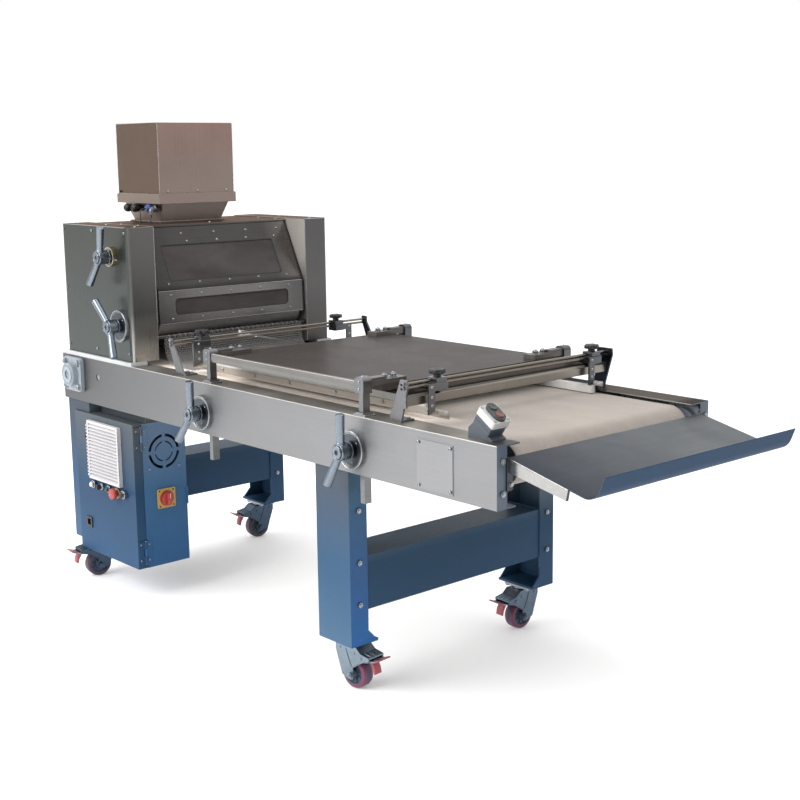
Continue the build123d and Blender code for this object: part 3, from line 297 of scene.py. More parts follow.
# painted shade: the tray darkens towards its near side
M["tray"] = steel("tray_steel", (0.22, 0.228, 0.238), 0.42, (200, 2.5, 200), 0.05, 0.14, graze=(0.42, 0.43, 0.44), grads=((1, 100, -380, (0.40, 0.42, 0.46)),))
M["white"] = plastic("white_plastic", (0.58, 0.565, 0.54), 0.4, 0.05)
M["vent"] = plastic("vent_plastic", (0.52, 0.51, 0.52), 0.45, 0.05)
M["roller"] = plastic("roller_coat", (0.19, 0.185, 0.18), 0.3, 0.10)
M["black"] = plastic("black_plastic", (0.012, 0.012, 0.014), 0.38, 0.2)
M["station"] = plastic("station_grey", (0.50, 0.497, 0.49), 0.45, 0.06)
# painted light: a slightly warmer copy of the station grey for the near side faces
M["station_side"] = plastic("station_side_grey", (0.50, 0.485, 0.47), 0.45, 0.06)
M["station_base"] = plastic("station_base", (0.050, 0.062, 0.078), 0.5, 0.2)
M["station_oval"] = plastic("station_oval", (0.040, 0.043, 0.043), 0.45, 0.2)
M["yellow"] = plastic("isolator_yellow", (0.42, 0.26, 0.06), 0.35, 0.06)
M["red"] = plastic("red_plastic", (0.34, 0.042, 0.034), 0.3, 0.10)
M["green"] = plastic("green_plastic", (0.030, 0.044, 0.038), 0.3, 0.10)
M["orange"] = plastic("stop_orange", (0.15, 0.048, 0.035), 0.3, 0.10)
M["wheel"] = paint("wheel_tread", (0.16, 0.036, 0.078), 0.4, 0.18, peel=0.08)
# painted shade: the tyre's running band is a darker navy-purple than its red sides
M["wheel_run"] = paint("wheel_running_band", (0.048, 0.036, 0.090), 0.42, 0.25, peel=0.12)
M["core"] = paint("wheel_core", (0.045, 0.068, 0.105), 0.45, 0.15)
M["pedal_pale"] = steel("pedal_pale", (0.33, 0.29, 0.31), 0.32, (60, 60, 60), 0.12, 0.2, 0.0008)
M["pedal"] = paint("pedal_red", (0.33, 0.065, 0.085), 0.4, 0.12)
M["mesh"] = steel("chain_mesh", (0.40, 0.385, 0.375), 0.5, (150, 150, 150), 0.2, 0.2)
M["tint"] = tinted("window_tint", (0.070, 0.063, 0.062), 0.12, 0.16)
M["sill"] = plastic("sill_white", (0.45, 0.455, 0.47), 0.45, 0.06)
# painted shade: near-black for the sockets of screw heads and of the handle ends
M["dark"] = plastic("dark_inside", (0.01, 0.01, 0.011), 0.8, 0.3)
M["rubber"] = plastic("rubber_black", (0.014, 0.014, 0.015), 0.6, 0.25)
# bright steel for the dial rims and for thin edge tubes; on the housing seams and on the guard's hem and fold its
# brightness is a painted highlight
M["edge"] = steel("edge_steel", (0.40, 0.405, 0.41), 0.24, (60, 60, 60), 0.12, 0.2, 0.0)
M["hopper_edge"] = steel("hopper_edge", (0.40, 0.355, 0.325), 0.26, (60, 60, 60), 0.12, 0.2, 0.0)
M["blue_plug"] = plastic("plug_blue", (0.045, 0.08, 0.26), 0.38, 0.12)
M["filter"] = plastic("filter_pad", (0.13, 0.13, 0.135), 0.95, 0.35, spec=0.1, peel=0.4)
M["red_dark"] = plastic("red_mark", (0.22, 0.02, 0.02), 0.4, 0.12)
M["polish"] = steel("polished_bar", (0.175, 0.168, 0.158), 0.34, (4, 160, 160), 0.08, 0.12, 0.0, metal=0.5, spec=0.3)
M["cover"] = steel("cover_plate", (0.285, 0.286, 0.295), 0.38, (2.5, 260, 260), 0.05, 0.10)
# painted shade: the inner plates darken towards the bottom, behind the guard
M["inner"] = steel("inner_plate", (0.36, 0.335, 0.31), 0.55, (240, 240, 2.5), 0.06, 0.12, metal=0.2, grads=((2, 1140, 1060, (0.42, 0.42, 0.43)),))
# painted light: the near housing's front face lightens towards the bottom
M["head_front"] = steel("head_front_steel", (0.139, 0.136, 0.132), 0.30, (240, 240, 2.5), 0.05, 0.12, grads=((2, 1000, 880, (3.2, 3.2, 3.1)),))
M["dial_face"] = steel("dial_face", (0.095, 0.105, 0.12), 0.34, (120, 120, 120), 0.15, 0.2)
M["lip"] = steel("tray_lip", (0.040, 0.072, 0.126), 0.5, (200, 2.5, 200), 0.05, 0.14, graze=(0.2, 0.24, 0.3), metal=0.1, spec=0.08)
# painted shade: darker copies of the hopper steel for the chute's near faces (chute) and the bin's near faces
# (hopper_side)
M["chute"] = steel("chute_side", (0.195, 0.155, 0.13), 0.40, (200, 200, 2.2), 0.05, 0.12, metal=0.6)
M["hopper_side"] = steel("hopper_side_steel", (0.140, 0.095, 0.069), 0.32, (200, 200, 2.2), 0.04, 0.10)
# painted shade: a darker copy of the housing front steel for the far housing's front face, darker still towards the
# bottom
M["far_front"] = steel("far_front_steel", (0.112, 0.109, 0.109), 0.30, (240, 240, 2.5), 0.05, 0.12, grads=((2, 1050, 850, (0.66, 0.64, 0.62)),))
# painted light: a lighter copy of the hopper steel for the chute's front faces
M["chute_front"] = steel("chute_front", (0.37, 0.345, 0.335), 0.42, (200, 200, 2.2), 0.05, 0.12, metal=0.55)
M["handle"] = steel("handle_steel", (0.20, 0.235, 0.275), 0.22, (60, 60, 60), 0.08, 0.16, 0.001)
# painted shade: the lift steel darkens towards the far side
M["lift"] = steel("lift_steel", (0.19, 0.193, 0.198), 0.32, (90, 6, 90), 0.10, 0.16, grads=((1, -100, 250, (0.62, 0.64, 0.68)),))
M["strip"] = steel("guide_strip", (0.43, 0.385, 0.335), 0.42, (4, 160, 160), 0.08, 0.14, metal=0.2, spec=0.3)
# painted shade: dark steel for the net's hanging rod, which lies in the shade under the guard
M["net_rod"] = steel("net_rod", (0.085, 0.083, 0.08), 0.34, (160, 4, 160), 0.12, 0.16)
# lit and shaded copies of the one blue paint, each retinted towards the floor and towards the top: painted light and
# shade. The cabinet's near faces (blue_shell) are darker, its door (blue_door) lighter, and the legs' near side faces,
# near front faces and far faces (leg_side, leg_front, leg_far) each have their own tone; the far faces are darkest,
# and the near side faces also darken towards the rear
BL = (0.034, 0.085, 0.160)
M["blue_shell"] = paint("cabinet_blue", (0.018, 0.051, 0.104), 0.42, 0.06, spec=0.10, grads=((2, 350, 150, (1.35, 1.35, 1.38)), (2, 380, 640, (4.4, 1.8, 0.95))))
M["blue_door"] = paint("door_blue", (0.043, 0.116, 0.228), 0.42, 0.06, spec=0.10, grads=((2, 350, 150, (0.72, 0.84, 0.98)), (2, 380, 640, (2.9, 1.6, 1.2))))
M["leg_side"] = paint("leg_side_blue", BL, 0.42, 0.06, spec=0.10, grads=((2, 350, 150, (1.8, 1.42, 1.26)), (2, 380, 640, (1.84, 0.88, 0.57)), (0, 1000, 400, (0.85, 0.85, 0.9))))
M["leg_front"] = paint("leg_front_blue", (0.038, 0.099, 0.234), 0.42, 0.06, spec=0.10, grads=((2, 350, 150, (0.84, 1.25, 1.44)), (2, 380, 640, (1.31, 1.07, 0.685))))
M["leg_far"] = paint("leg_far_blue", sc(BL, 0.65), 0.42, 0.06, spec=0.10, grads=((2, 350, 150, (1.35, 1.35, 1.38)), (2, 380, 640, (9.5, 4.3, 2.2))))
# painted shade: the guard's lower face darkens towards both ends
M["guard_low"] = steel("guard_low_steel", (0.200, 0.190, 0.186), 0.27, (240, 2.5, 240), 0.05, 0.14, grads=((1, -170, -300, (0.66, 0.66, 0.68)), (1, 120, 290, (0.55, 0.55, 0.56))))
# lit and shaded copies of the caster zinc: painted light and shade. The lightest is used on the near front fork and
# the pedals, a darker one on the far front fork, and the darkest on the rear forks
M["zinc_blue"] = steel("zinc_blue", (0.24, 0.295, 0.35), 0.32, (60, 60, 60), 0.12, 0.2, 0.0008)
M["zinc_mid"] = steel("zinc_mid", (0.125, 0.165, 0.215), 0.34, (60, 60, 60), 0.12, 0.2, 0.0008)
M["zinc_navy"] = steel("zinc_navy", (0.072, 0.105, 0.155), 0.38, (60, 60, 60), 0.12, 0.2, 0.0008)
# painted shade: a darker copy of the wheel colour for the rear wheels, which stand in shade under the machine
M["wheel_dark"] = paint("wheel_rear", (0.050, 0.027, 0.050), 0.42, 0.2, peel=0.08)
M["lead"] = plastic("lead_sheath", (0.022, 0.024, 0.030), 0.45, 0.15)
M["thread"] = canvas("hem_thread", (0.30, 0.268, 0.24))
M["fan"] = plastic("fan_inside", (0.02, 0.028, 0.042), 0.7, 0.3)

# lit and shaded copies of one steel: the front bar's face in a beige tone standing for the belt reflected in it
# (painted reflection), and the inclined web above it darker (painted shade)
M["bar"] = steel("front_bar", (0.285, 0.258, 0.225), 0.30, (160, 4, 160), 0.08, 0.14)
M["web"] = steel("front_web", (0.120, 0.108, 0.096), 0.34, (160, 4, 160), 0.08, 0.14)
M["far_navy"] = steel("far_bracket", (0.050, 0.062, 0.082), 0.36, (90, 6, 90), 0.10, 0.16)
M["apron"] = steel("rear_apron", (0.085, 0.081, 0.078), 0.45, (240, 240, 2.5), 0.06, 0.12, metal=0.3)
M["arm"] = steel("lift_arm", (0.14, 0.127, 0.119), 0.34, (90, 6, 90), 0.10, 0.16, metal=0.4, spec=0.1)
# painted highlight: a light steel for the line tubes along the near rail's outer top edge and the tie bar's top edge;
# it also serves as the guide screw heads
M["rail_line"] = steel("rail_line", (0.50, 0.485, 0.465), 0.32, (60, 60, 60), 0.08, 0.12, 0.0, metal=0.4)
# a darker steel for the line along the far rail's outer top edge (painted shade) and along both flanges' inner edges
M["rail_lip"] = steel("rail_lip", (0.20, 0.185, 0.17), 0.40, (2.5, 260, 260), 0.05, 0.10)
M["fitting"] = steel("fitting_zinc", (0.15, 0.16, 0.17), 0.30, (60, 60, 60), 0.12, 0.2, 0.0008)

ASSIGN = {
    "side_rails": "rail", "belt_bed": "galv", "conveyor_belt": "canvas", "leg_frames": "blue", "caster_mounts": "zinc",
    "frame_fasteners": "zinc", "roller_bearings": "bearing", "head_housings": "head", "head_cover": "head_top",
    "hopper_chute": "hopper", "hopper_bin": "hopper", "hopper_fittings": "black", "curling_mesh": "mesh",
    "dial_plates": "dial", "guide_rod_frames": "lift", "catch_tray": "tray", "station_box": "station",
    "cabinet_shell": "blue_shell", "vent_grille": "vent", "panel_bezels": "black",
    "drive_roller": "bright", "tail_roller": "bright", "upper_fixed_roller": "roller", "lower_fixed_roller": "roller",
    "upper_gap_roller": "roller", "lower_gap_roller": "roller", "upper_gap_handle": "handle", "lower_gap_handle": "handle",
    "rear_lift_handle": "handle", "front_lift_handle": "handle", "pressure_board": "board", "lift_posts": "lift",
    "near_guide": "strip", "far_guide": "lift", "near_guide_liner": "white", "far_guide_liner": "white",
    "front_guard": "guard", "guard_windows": "tint", "cabinet_door": "blue_door", "isolator_plate": "yellow",
    "isolator_knob": "red", "estop_button": "red", "start_button": "green", "stop_button": "orange",
}
for k in ("near_front", "far_front", "near_rear", "far_rear"):
    # forks in lit and shaded copies of the zinc by position: painted light and shade
    ASSIGN["caster_fork_" + k] = {"near_front": "zinc_blue", "far_front": "zinc_mid"}.get(k, "zinc_navy")
    # rear wheels in the darker wheel_dark copy: painted shade
    ASSIGN["caster_wheel_" + k] = "wheel" if "front" in k else "wheel_dark"
    ASSIGN["brake_pedal_" + k] = "zinc_blue"
    ASSIGN["clamp_knob_" + k] = "black"
for n, o in N.items():
    o.data.materials.clear()
    o.data.materials.append(M[ASSIGN[n]])


def paint_faces(node, key, test):
    """gives another material to the polygons of a CAD node whose centre (machine mm) and normal pass the test"""
    o = N[node]
    o.data.materials.append(M[key])
    idx = len(o.data.materials) - 1
    for p in o.data.polygons:
        c = p.center
        if test(c.x * 1000 + OX, c.y * 1000 + OY, c.z * 1000, p.normal):
            p.material_index = idx


# ------------------------------------------------------------------ geometry helpers
def finish_mesh(bm, name, keys, body, sharp=32.0):
    bmesh.ops.recalc_face_normals(bm, faces=bm.faces)
    lim = radians(sharp)
    for e in bm.edges:
        if len(e.link_faces) == 2:
            e.smooth = e.calc_face_angle(0.0) < lim
    for f in bm.faces:
        f.smooth = True
    me = bpy.data.meshes.new(name)
    bm.to_mesh(me)
    bm.free()
    o = bpy.data.objects.new(name, me)
    bpy.context.scene.collection.objects.link(o)
    for k in ([keys] if isinstance(keys, str) else keys):
        me.materials.append(M[k])
    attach(o, body)
    return o


def basis(n):
    n = Vector(n).normalized()
    a = Vector((0, 0, 1)) if abs(n.z) < 0.9 else Vector((1, 0, 0))
    u = a.cross(n).normalized()
    return u, n.cross(u), n


def lathe(bm, origin, axis, prof, seg=24, mi=0, closed=False):
    """revolves (radius mm, height mm) pairs about axis; origin in machine mm"""
    u, v, n = basis(axis)
    o = P(*origin)
    rings = []
    for r, h in prof:
        if r < 1e-6:
            rings.append([bm.verts.new(o + n * (h / 1000.0))])
        else:
            rings.append([bm.verts.new(o + n * (h / 1000.0) + (u * cos(2 * pi * k / seg) + v * sin(2 * pi * k / seg)) * (r / 1000.0)) for k in range(seg)])
    for a, b in zip(rings, rings[1:]):
        for k in range(seg):
            k2 = (k + 1) % seg
            if len(a) == 1 and len(b) == 1:
                continue
            if len(a) == 1:
                f = bm.faces.new((a[0], b[k], b[k2]))
            elif len(b) == 1:
                f = bm.faces.new((a[k], b[0], a[k2]))
            else:
                f = bm.faces.new((a[k], b[k], b[k2], a[k2]))
            f.material_index = mi
    return rings


def tube(bm, pts, r, seg=10, mi=0, wobble=0.0, cap=True):
    """round tube through machine-mm points; wobble varies the radius as on a weld bead"""
    q = [P(*p) for p in pts]
    rings = []
    prev = None
    for i, p in enumerate(q):
        t = (q[min(i + 1, len(q) - 1)] - q[max(i - 1, 0)]).normalized()
        if prev is None:
            u, v, _ = basis(t)
        else:
            u = (prev - t * prev.dot(t)).normalized()
            v = t.cross(u)
        prev = u
        rr = r / 1000.0 * (1.0 + wobble * random.uniform(-1, 1))
        rings.append([bm.verts.new(p + (u * cos(2 * pi * k / seg) + v * sin(2 * pi * k / seg)) * rr) for k in range(seg)])
    for a, b in zip(rings, rings[1:]):
        for k in range(seg):
            f = bm.faces.new((a[k], b[k], b[(k + 1) % seg], a[(k + 1) % seg]))
            f.material_index = mi
    if cap:
        for ring in (rings[0], rings[-1]):
            f = bm.faces.new(ring)
            f.material_index = mi


def rbox(bm, lo, hi, bev=1.0, mi=0, rot=None, about=None, segs=2):
    """bevelled block between two machine-mm corners, optionally turned about a point by a 3x3 matrix"""
    a, b = P(*lo), P(*hi)
    c = (a + b) / 2
    tmp = bmesh.new()
    bmesh.ops.create_cube(tmp, size=1.0)
    for v in tmp.verts:
        v.co = Vector((v.co.x * (b.x - a.x), v.co.y * (b.y - a.y), v.co.z * (b.z - a.z)))
    if bev > 0:
        bmesh.ops.bevel(tmp, geom=list(tmp.edges), offset=bev / 1000.0, segments=segs, affect="EDGES", profile=0.5)
    piv = P(*about) if about is not None else c
    vm = {}
    for v in tmp.verts:
        w = v.co + c
        if rot is not None:
            w = rot @ (w - piv) + piv
        vm[v] = bm.verts.new(w)
    for f in tmp.faces:
        g = bm.faces.new([vm[v] for v in f.verts])
        g.material_index = mi
    tmp.free()


def screw(bm, pos, n, r=4.2, h=2.6, mi=0, mi_dark=1, seg=16):
    """button head with a six-sided socket"""
    prof = [(r * 1.02, -0.3), (r, h * 0.25), (r * 0.93, h * 0.6), (r * 0.72, h * 0.92), (r * 0.5, h)]
    lathe(bm, pos, n, prof, seg, mi)
    u, v, nn = basis(n)
    o = P(*pos)
    outer = [o + nn * (h / 1000.0) + (u * cos(2 * pi * k / seg) + v * sin(2 * pi * k / seg)) * (r * 0.5 / 1000.0) for k in range(seg)]
    ov = [bm.verts.new(p) for p in outer]
    iv, dv = [], []
    for k in range(seg):
        a = 2 * pi * k / seg
        rr = r * 0.40 * cos(pi / 6) / cos((a % (pi / 3)) - pi / 6)
        d = (u * cos(a) + v * sin(a)) * (rr / 1000.0)
        iv.append(bm.verts.new(o + nn * (h / 1000.0) + d))
        dv.append(bm.verts.new(o + nn * (h * 0.35 / 1000.0) + d))
    for k in range(seg):
        k2 = (k + 1) % seg
        f = bm.faces.new((ov[k], iv[k], iv[k2], ov[k2]))
        f.material_index = mi
        f = bm.faces.new((iv[k], dv[k], dv[k2], iv[k2]))
        f.material_index = mi_dark
    f = bm.faces.new(dv)
    f.material_index = mi_dark


def hexnut(bm, pos, n, r=8.0, h=6.0, washer=True, bolt=True, mi=0, phase=0.0):
    u, v, nn = basis(n)
    o = P(*pos)
    z = 0.0
    if washer:
        lathe(bm, pos, n, [(r * 1.25, 0), (r * 1.25, r * 0.16), (r * 0.6, r * 0.16)], 20, mi)
        z = r * 0.16
    lay = [(1.0, 0.0), (1.0, 0.82), (0.86, 1.0)]
    rings = []
    for k, hh in lay:
        rings.append([bm.verts.new(o + nn * ((z + h * hh) / 1000.0) + (u * cos(pi / 3 * j + phase) + v * sin(pi / 3 * j + phase)) * (r * k / 1000.0)) for j in range(6)])
    for a, b in zip(rings, rings[1:]):
        for j in range(6):
            f = bm.faces.new((a[j], b[j], b[(j + 1) % 6], a[(j + 1) % 6]))
            f.material_index = mi
    f = bm.faces.new(rings[-1])
    f.material_index = mi
    if bolt:
        lathe(bm, (pos[0], pos[1], pos[2]), n, [(r * 0.5, z + h), (r * 0.5, z + h + 2.2), (r * 0.42, z + h + 3.0), (0, z + h + 3.0)], 14, mi)


def torus(bm, pos, n, R, r, seg=28, sub=8, mi=0, a0=0.0, a1=2 * pi):
    u, v, nn = basis(n)
    o = P(*pos)
    full = abs(a1 - a0 - 2 * pi) < 1e-6
    cnt = seg if full else seg + 1
    rings = []
    for k in range(cnt):
        a = a0 + (a1 - a0) * k / seg
        d = u * cos(a) + v * sin(a)
        c = o + d * (R / 1000.0)
        rings.append([bm.verts.new(c + (d * cos(2 * pi * j / sub) + nn * sin(2 * pi * j / sub)) * (r / 1000.0)) for j in range(sub)])
    for k in range(seg):
        a, b = rings[k], rings[(k + 1) % cnt]
        for j in range(sub):
            f = bm.faces.new((a[j], b[j], b[(j + 1) % sub], a[(j + 1) % sub]))
            f.material_index = mi


def bead(bm, a, b, r=3.0, step=7.0, mi=0):
    """weld bead between two machine-mm points"""
    A, B = Vector(a), Vector(b)
    n = max(3, int((B - A).length / step))
    tube(bm, [tuple(A + (B - A) * (k / n)) for k in range(n + 1)], r, 8, mi, 0.22)


# ------------------------------------------------------------------ head details
SL = atan2(104.0, 210.0)
NU = (cos(SL), 0, sin(SL))
NL = (cos(radians(2.06)), 0, sin(radians(2.06)))


def on_slope(t, y, out=2.0):
    return (360 + sin(SL) * t + cos(SL) * out, y, 1270 - cos(SL) * t + sin(SL) * out)


def on_lower(z, y, out=2.0):
    return (464 + (1060 - z) * 4 / 111 + out, y, z)


bm = bmesh.new()
for t, ys in ((24.9, (-146, -11, 125, 262)), (54.7, (-131, -7, 117, 241)), (208, (-253, -128, -4, 119, 244.5))):
    for y in ys:
        screw(bm, on_slope(t, y), NU, 4.4, 3.0)
for z, ys in ((1047, (-252, -131, -8, 116, 241)), (966, (-250, -129, -5, 119, 244))):
    for y in ys:
        screw(bm, on_lower(z, y), NL, 4.4, 3.0)
finish_mesh(bm, "guard_screws", ("zinc", "dark"), "guard")


def rr_path(hy, hz, r, seg=7):
    pts = []
    for cx, cy, a0 in ((hy - r, hz - r, 0), (-hy + r, hz - r, 90), (-hy + r, -hz + r, 180), (hy - r, -hz + r, 270)):
        for k in range(seg + 1):
            a = radians(a0 + 90.0 * k / seg)
            pts.append((cx + r * cos(a), cy + r * sin(a)))
    pts.append(pts[0])
    return pts


bm = bmesh.new()
tm = (65 + 199) / 2.0
tube(bm, [on_slope(tm - b, a - 8, 0.6) for a, b in rr_path(233.5, 65.5, 10)], 1.7, 8, 0, cap=False)
tube(bm, [on_lower((978 + 1034) / 2.0 + b, a, 0.6) for a, b in rr_path(236.5, 26.5, 13)], 1.7, 8, 0, cap=False)
finish_mesh(bm, "window_seals", "rubber", "guard")

# folded hem at the guard's lower lip and the fold between its two faces, as bright steel tubes: painted highlight on
# both edges
bm = bmesh.new()
tube(bm, [on_lower(950.5, -301 + 602 * k / 40.0, 0.4) for k in range(41)], 1.9, 8)
tube(bm, [on_slope(233.0, -301 + 602 * k / 40.0, 1.1) for k in range(41)], 1.5, 8)
finish_mesh(bm, "guard_hems", "edge", "guard")

# dark rubber strips filling the slits between the guard's ends and the housings: painted shade standing in for the
# shadowed gaps
bm = bmesh.new()
for sg in (-1, 1):
    prof = [on_slope(4, 0, -2.0), on_slope(118, 0, -2.0), on_slope(232, 0, -2.0), on_lower(1050, 0, -2.0), on_lower(952, 0, -2.0)]
    rings = []
    for (x, _, z), w in zip(prof, (5.0, 5.0, 6.0, 6.0, 6.0)):
        rings.append([bm.verts.new(P(x + dx, sg * yy, z)) for dx, yy in ((0.0, 302.2), (1.6, 306.0), (1.6, 310.0), (0.0, 313.6), (-w, 313.6), (-w, 302.2))])
    for a, b in zip(rings, rings[1:]):
        for j in range(6):
            bm.faces.new((a[j], b[j], b[(j + 1) % 6], a[(j + 1) % 6]))
    bm.faces.new(rings[0])
    bm.faces.new(rings[-1][::-1])
finish_mesh(bm, "guard_slit_shade_strips", "rubber", "guard", 40)

# chain-mesh net: hanging rod and interlocked links
BT = 812.3


def arc_path(pts, radii, step):
    dense = [Vector((p[0], 0, p[1])) for p in pts]
    out = [dense[0]]
    for i in range(1, len(dense) - 1):
        p, a, b = dense[i], dense[i - 1], dense[i + 1]
        u, v = (a - p).normalized(), (b - p).normalized()
        half = u.angle(v) / 2
        d = radii[i - 1] / math.tan(half)
        p1, p2 = p + u * d, p + v * d
        c = p + (u + v).normalized() * (radii[i - 1] / sin(half))
        for k in range(9):
            q = (p1 - c).lerp(p2 - c, k / 8.0).normalized() * radii[i - 1] + c
            out.append(q)
    out.append(dense[-1])
    res = [out[0]]
    acc = 0.0
    for a, b in zip(out, out[1:]):
        L = (b - a).length
        s = step - acc
        while s <= L:
            res.append(a + (b - a) * (s / L))
            s += step
        acc = L - (s - step)
    return res


bm = bmesh.new()
# the rod takes the dark net_rod steel: painted shade
lathe(bm, (466, -315, 908), (0, 1, 0), [(0, 0), (5.4, 0), (6, 0.6), (6, 629.4), (5.4, 630), (0, 630)], 20, 1)
net = arc_path([(471.5, 903), (475.5, 849), (509, BT + 2.6), (640, BT + 2.6)], [38, 44], 7.4)
rows = len(net)
for i, p in enumerate(net):
    t = (net[min(i + 1, rows - 1)] - net[max(i - 1, 0)]).normalized()
    nrm = Vector((t.z, 0, -t.x))
    if nrm.x < 0 and abs(nrm.x) > abs(nrm.z):
        nrm = -nrm
    if nrm.z < 0 and abs(nrm.z) >= abs(nrm.x):
        nrm = -nrm
    for j in range(78):
        y = -285.0 + j * 7.4
        s = 1 if (i + j) % 2 else -1
        nn = (nrm + Vector((0, 1, 0)) * (0.36 * s) + t * 0.12 * s).normalized()
        torus(bm, (p.x, y, p.z), nn, 4.3, 0.75, 8, 4, 0)
o = finish_mesh(bm, "net_links", ("mesh", "net_rod"), "frame", 80)
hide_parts("curling_mesh")
bm = bmesh.new()
for j in range(26):
    torus(bm, (466, -270 + 21.6 * j, 907), (0, 1, 0.2), 8.0, 1.1, 14, 6)
finish_mesh(bm, "net_hooks", "mesh", "frame")

# dial plates: graduations, rim rings and screws
bm = bmesh.new()
for (x, z, y, r) in ((364, 1183, -416, 33), (407, 953, -416, 54), (902, 727, -425, 54), (1641, 727, -425, 54)):
    cnt = 40 if r > 40 else 24
    for k in range(cnt):
        a = 2 * pi * k / cnt
        L = 5.5 if k % 5 == 0 else 3.2
        r1, r0 = r - 0.9, r - 0.9 - L
        w = 0.55 if k % 5 == 0 else 0.35
        d = Vector((cos(a), 0, sin(a)))
        e = Vector((-sin(a), 0, cos(a)))
        vs = []
        for rr, ww in ((r0, -w), (r1, -w), (r1, w), (r0, w)):
            q = d * rr + e * ww
            vs.append((x + q.x, y - 11.25, z + q.z))
        bot = [bm.verts.new(P(vx, vy + 0.3, vz)) for vx, vy, vz in vs]
        tp = [bm.verts.new(P(*v)) for v in vs]
        bm.faces.new(tp)
        for q in range(4):
            bm.faces.new((bot[q], bot[(q + 1) % 4], tp[(q + 1) % 4], tp[q]))
finish_mesh(bm, "dial_ticks", "black", "frame", 20)
bm = bmesh.new()
for (x, z, y, r) in ((364, 1183, -416, 33), (407, 953, -416, 54), (902, 727, -425, 54), (1641, 727, -425, 54)):
    torus(bm, (x, y - 10.6, z), (0, 1, 0), r - 1.6, 1.6, 48, 8, 0)
    torus(bm, (x, y - 8.2, z), (0, 1, 0), r - 8.5, 0.9, 40, 6, 0)
    for k in range(3):
        a = radians(40 + 120 * k)
        rr = r * 0.62
        screw(bm, (x + rr * cos(a), y - 8, z + rr * sin(a)), (0, -1, 0), 2.6, 1.6, 0, 1, 12)
finish_mesh(bm, "dial_rims", ("edge", "dark"), "frame")

# handle hubs: end boss with socket, grooves, and ferrules at the spoke roots
for body, x, z, yf, angs in (("upper_gap_handle", 364, 1183, -431, (70, 240)), ("lower_gap_handle", 407, 953, -431, (128, 292)),
                             ("rear_lift_handle", 902, 727, -440, (80, 237)), ("front_lift_handle", 1641, 727, -440, (81, 245))):
    bm = bmesh.new()
    torus(bm, (x, yf - 36.6, z), (0, 1, 0), 21.6, 2.6, 36, 8, 0)
    torus(bm, (x, yf - 3.0, z), (0, 1, 0), 24.0, 0.9, 36, 6, 0)
    torus(bm, (x, yf - 42.2, z), (0, 1, 0), 17.4, 1.6, 32, 8, 0)
    lathe(bm, (x, yf - 43, z), (0, -1, 0), [(10, 0.0), (10, 0.5), (8.4, 0.6), (7.6, 0.1), (7.6, 0.15)], 6, 0)
    # painted shade: the socket floor in the near-black dark material
    lathe(bm, (x, yf - 43.05, z), (0, -1, 0), [(7.6, 0.1), (0, 0.12)], 6, 1)
    for a in angs:
        ti = radians(7.0)
        d = Vector((cos(radians(a)) * cos(ti), -sin(ti), sin(radians(a)) * cos(ti)))
        base = Vector((x, yf - 27, z))
        q = base + d * 25.0
        lathe(bm, tuple(q), tuple(d), [(12.4, -4), (12.4, 1.2), (11.8, 3.2), (10.8, 4.2)], 24, 0)
        lathe(bm, tuple(base + d * 107.0), tuple(d), [(12.8, -0.6), (12.2, 1.6), (9.6, 3.05), (7.2, 3.15), (6.6, 2.6), (0, 2.5)], 28, 0)
    finish_mesh(bm, body + "_trim", ("handle", "dark"), body)

# dial pointer beside the upper head dial
bm = bmesh.new()
lathe(bm, (364 + 20, -424, 1183 - 6), (1, -0.15, -0.03), [(0, 0), (2.6, 0), (2.6, 38), (1.6, 42), (0, 42)], 12)
finish_mesh(bm, "dial_pointer", "chrome", "frame")

# housing edges: folded seams along the sheet edges as thin bright steel tubes, their brightness a painted highlight
bm = bmesh.new()
for s in (-1, 1):
    tube(bm, [(40 + (460 - 40) * k / 20.0, s * 415.2, 1282.4) for k in range(21)], 1.1, 8)
    tube(bm, [(474.3, s * (318 + (400 - 318) * k / 8.0), 1282.4) for k in range(9)], 1.1, 8)
    tube(bm, [(474.4, s * 315.8, 836 + (1282 - 836) * k / 24.0) for k in range(25)], 1.0, 8)
    tube(bm, [(25.6 + (475 - 25.6) * k / 20.0, s * 315.8, 1282.6) for k in range(21)], 1.0, 8)
finish_mesh(bm, "housing_seams", "edge", "frame")
bm = bmesh.new()
for x, z in ((44, 858), (44, 1061), (44, 1266), (240, 860), (240, 1266), (456, 862), (456, 1265)):
    for s in (-1, 1):
        screw(bm, (x, s * 418.1, z), (0, s, 0), 4.1, 1.8)
for x, y in ((60, -290), (220, -290), (332, -290), (60, 290), (220, 290), (332, 290), (332, 0)):
    screw(bm, (x, y, 1280), (0, 0, 1), 4.4, 2.8)
for x in (60, 250, 440):
    for y in (-365, 365):
        screw(bm, (x, y, 1283), (0, 0, 1), 4.4, 2.8)
finish_mesh(bm, "housing_screws", ("zinc", "dark"), "frame")

# ------------------------------------------------------------------ hopper details
bm = bmesh.new()
for x, y in ((-19.5, -155.5), (261.5, -155.5), (261.5, 155.5), (-19.5, 155.5)):
    bead(bm, (x, y, 1352), (x, y, 1627), 1.1, 9)
xs, ys = (-18.6, 260.6), (-154.6, 154.6)
for zz, rr in ((1627.8, 1.2),):
    tube(bm, [(xs[0], ys[0], zz), (xs[1], ys[0], zz), (xs[1], ys[1], zz), (xs[0], ys[1], zz), (xs[0], ys[0], zz)], rr, 8, 0, cap=False)
for zz in (1347.8, 1364.5, 1381.4):
    x0, x1, yy = -23.7, 265.7, 159.7
    tube(bm, [(x0, -yy, zz), (x1, -yy, zz), (x1, yy, zz), (x0, yy, zz), (x0, -yy, zz)], 1.2, 8, 0, cap=False)
for sx, sy in ((0, -1), (1, -1), (1, 1), (0, 1)):
    bead(bm, ((32, 214)[sx], sy * 125, 1284), ((-4, 248)[sx], sy * 138, 1346.5), 1.5, 6)
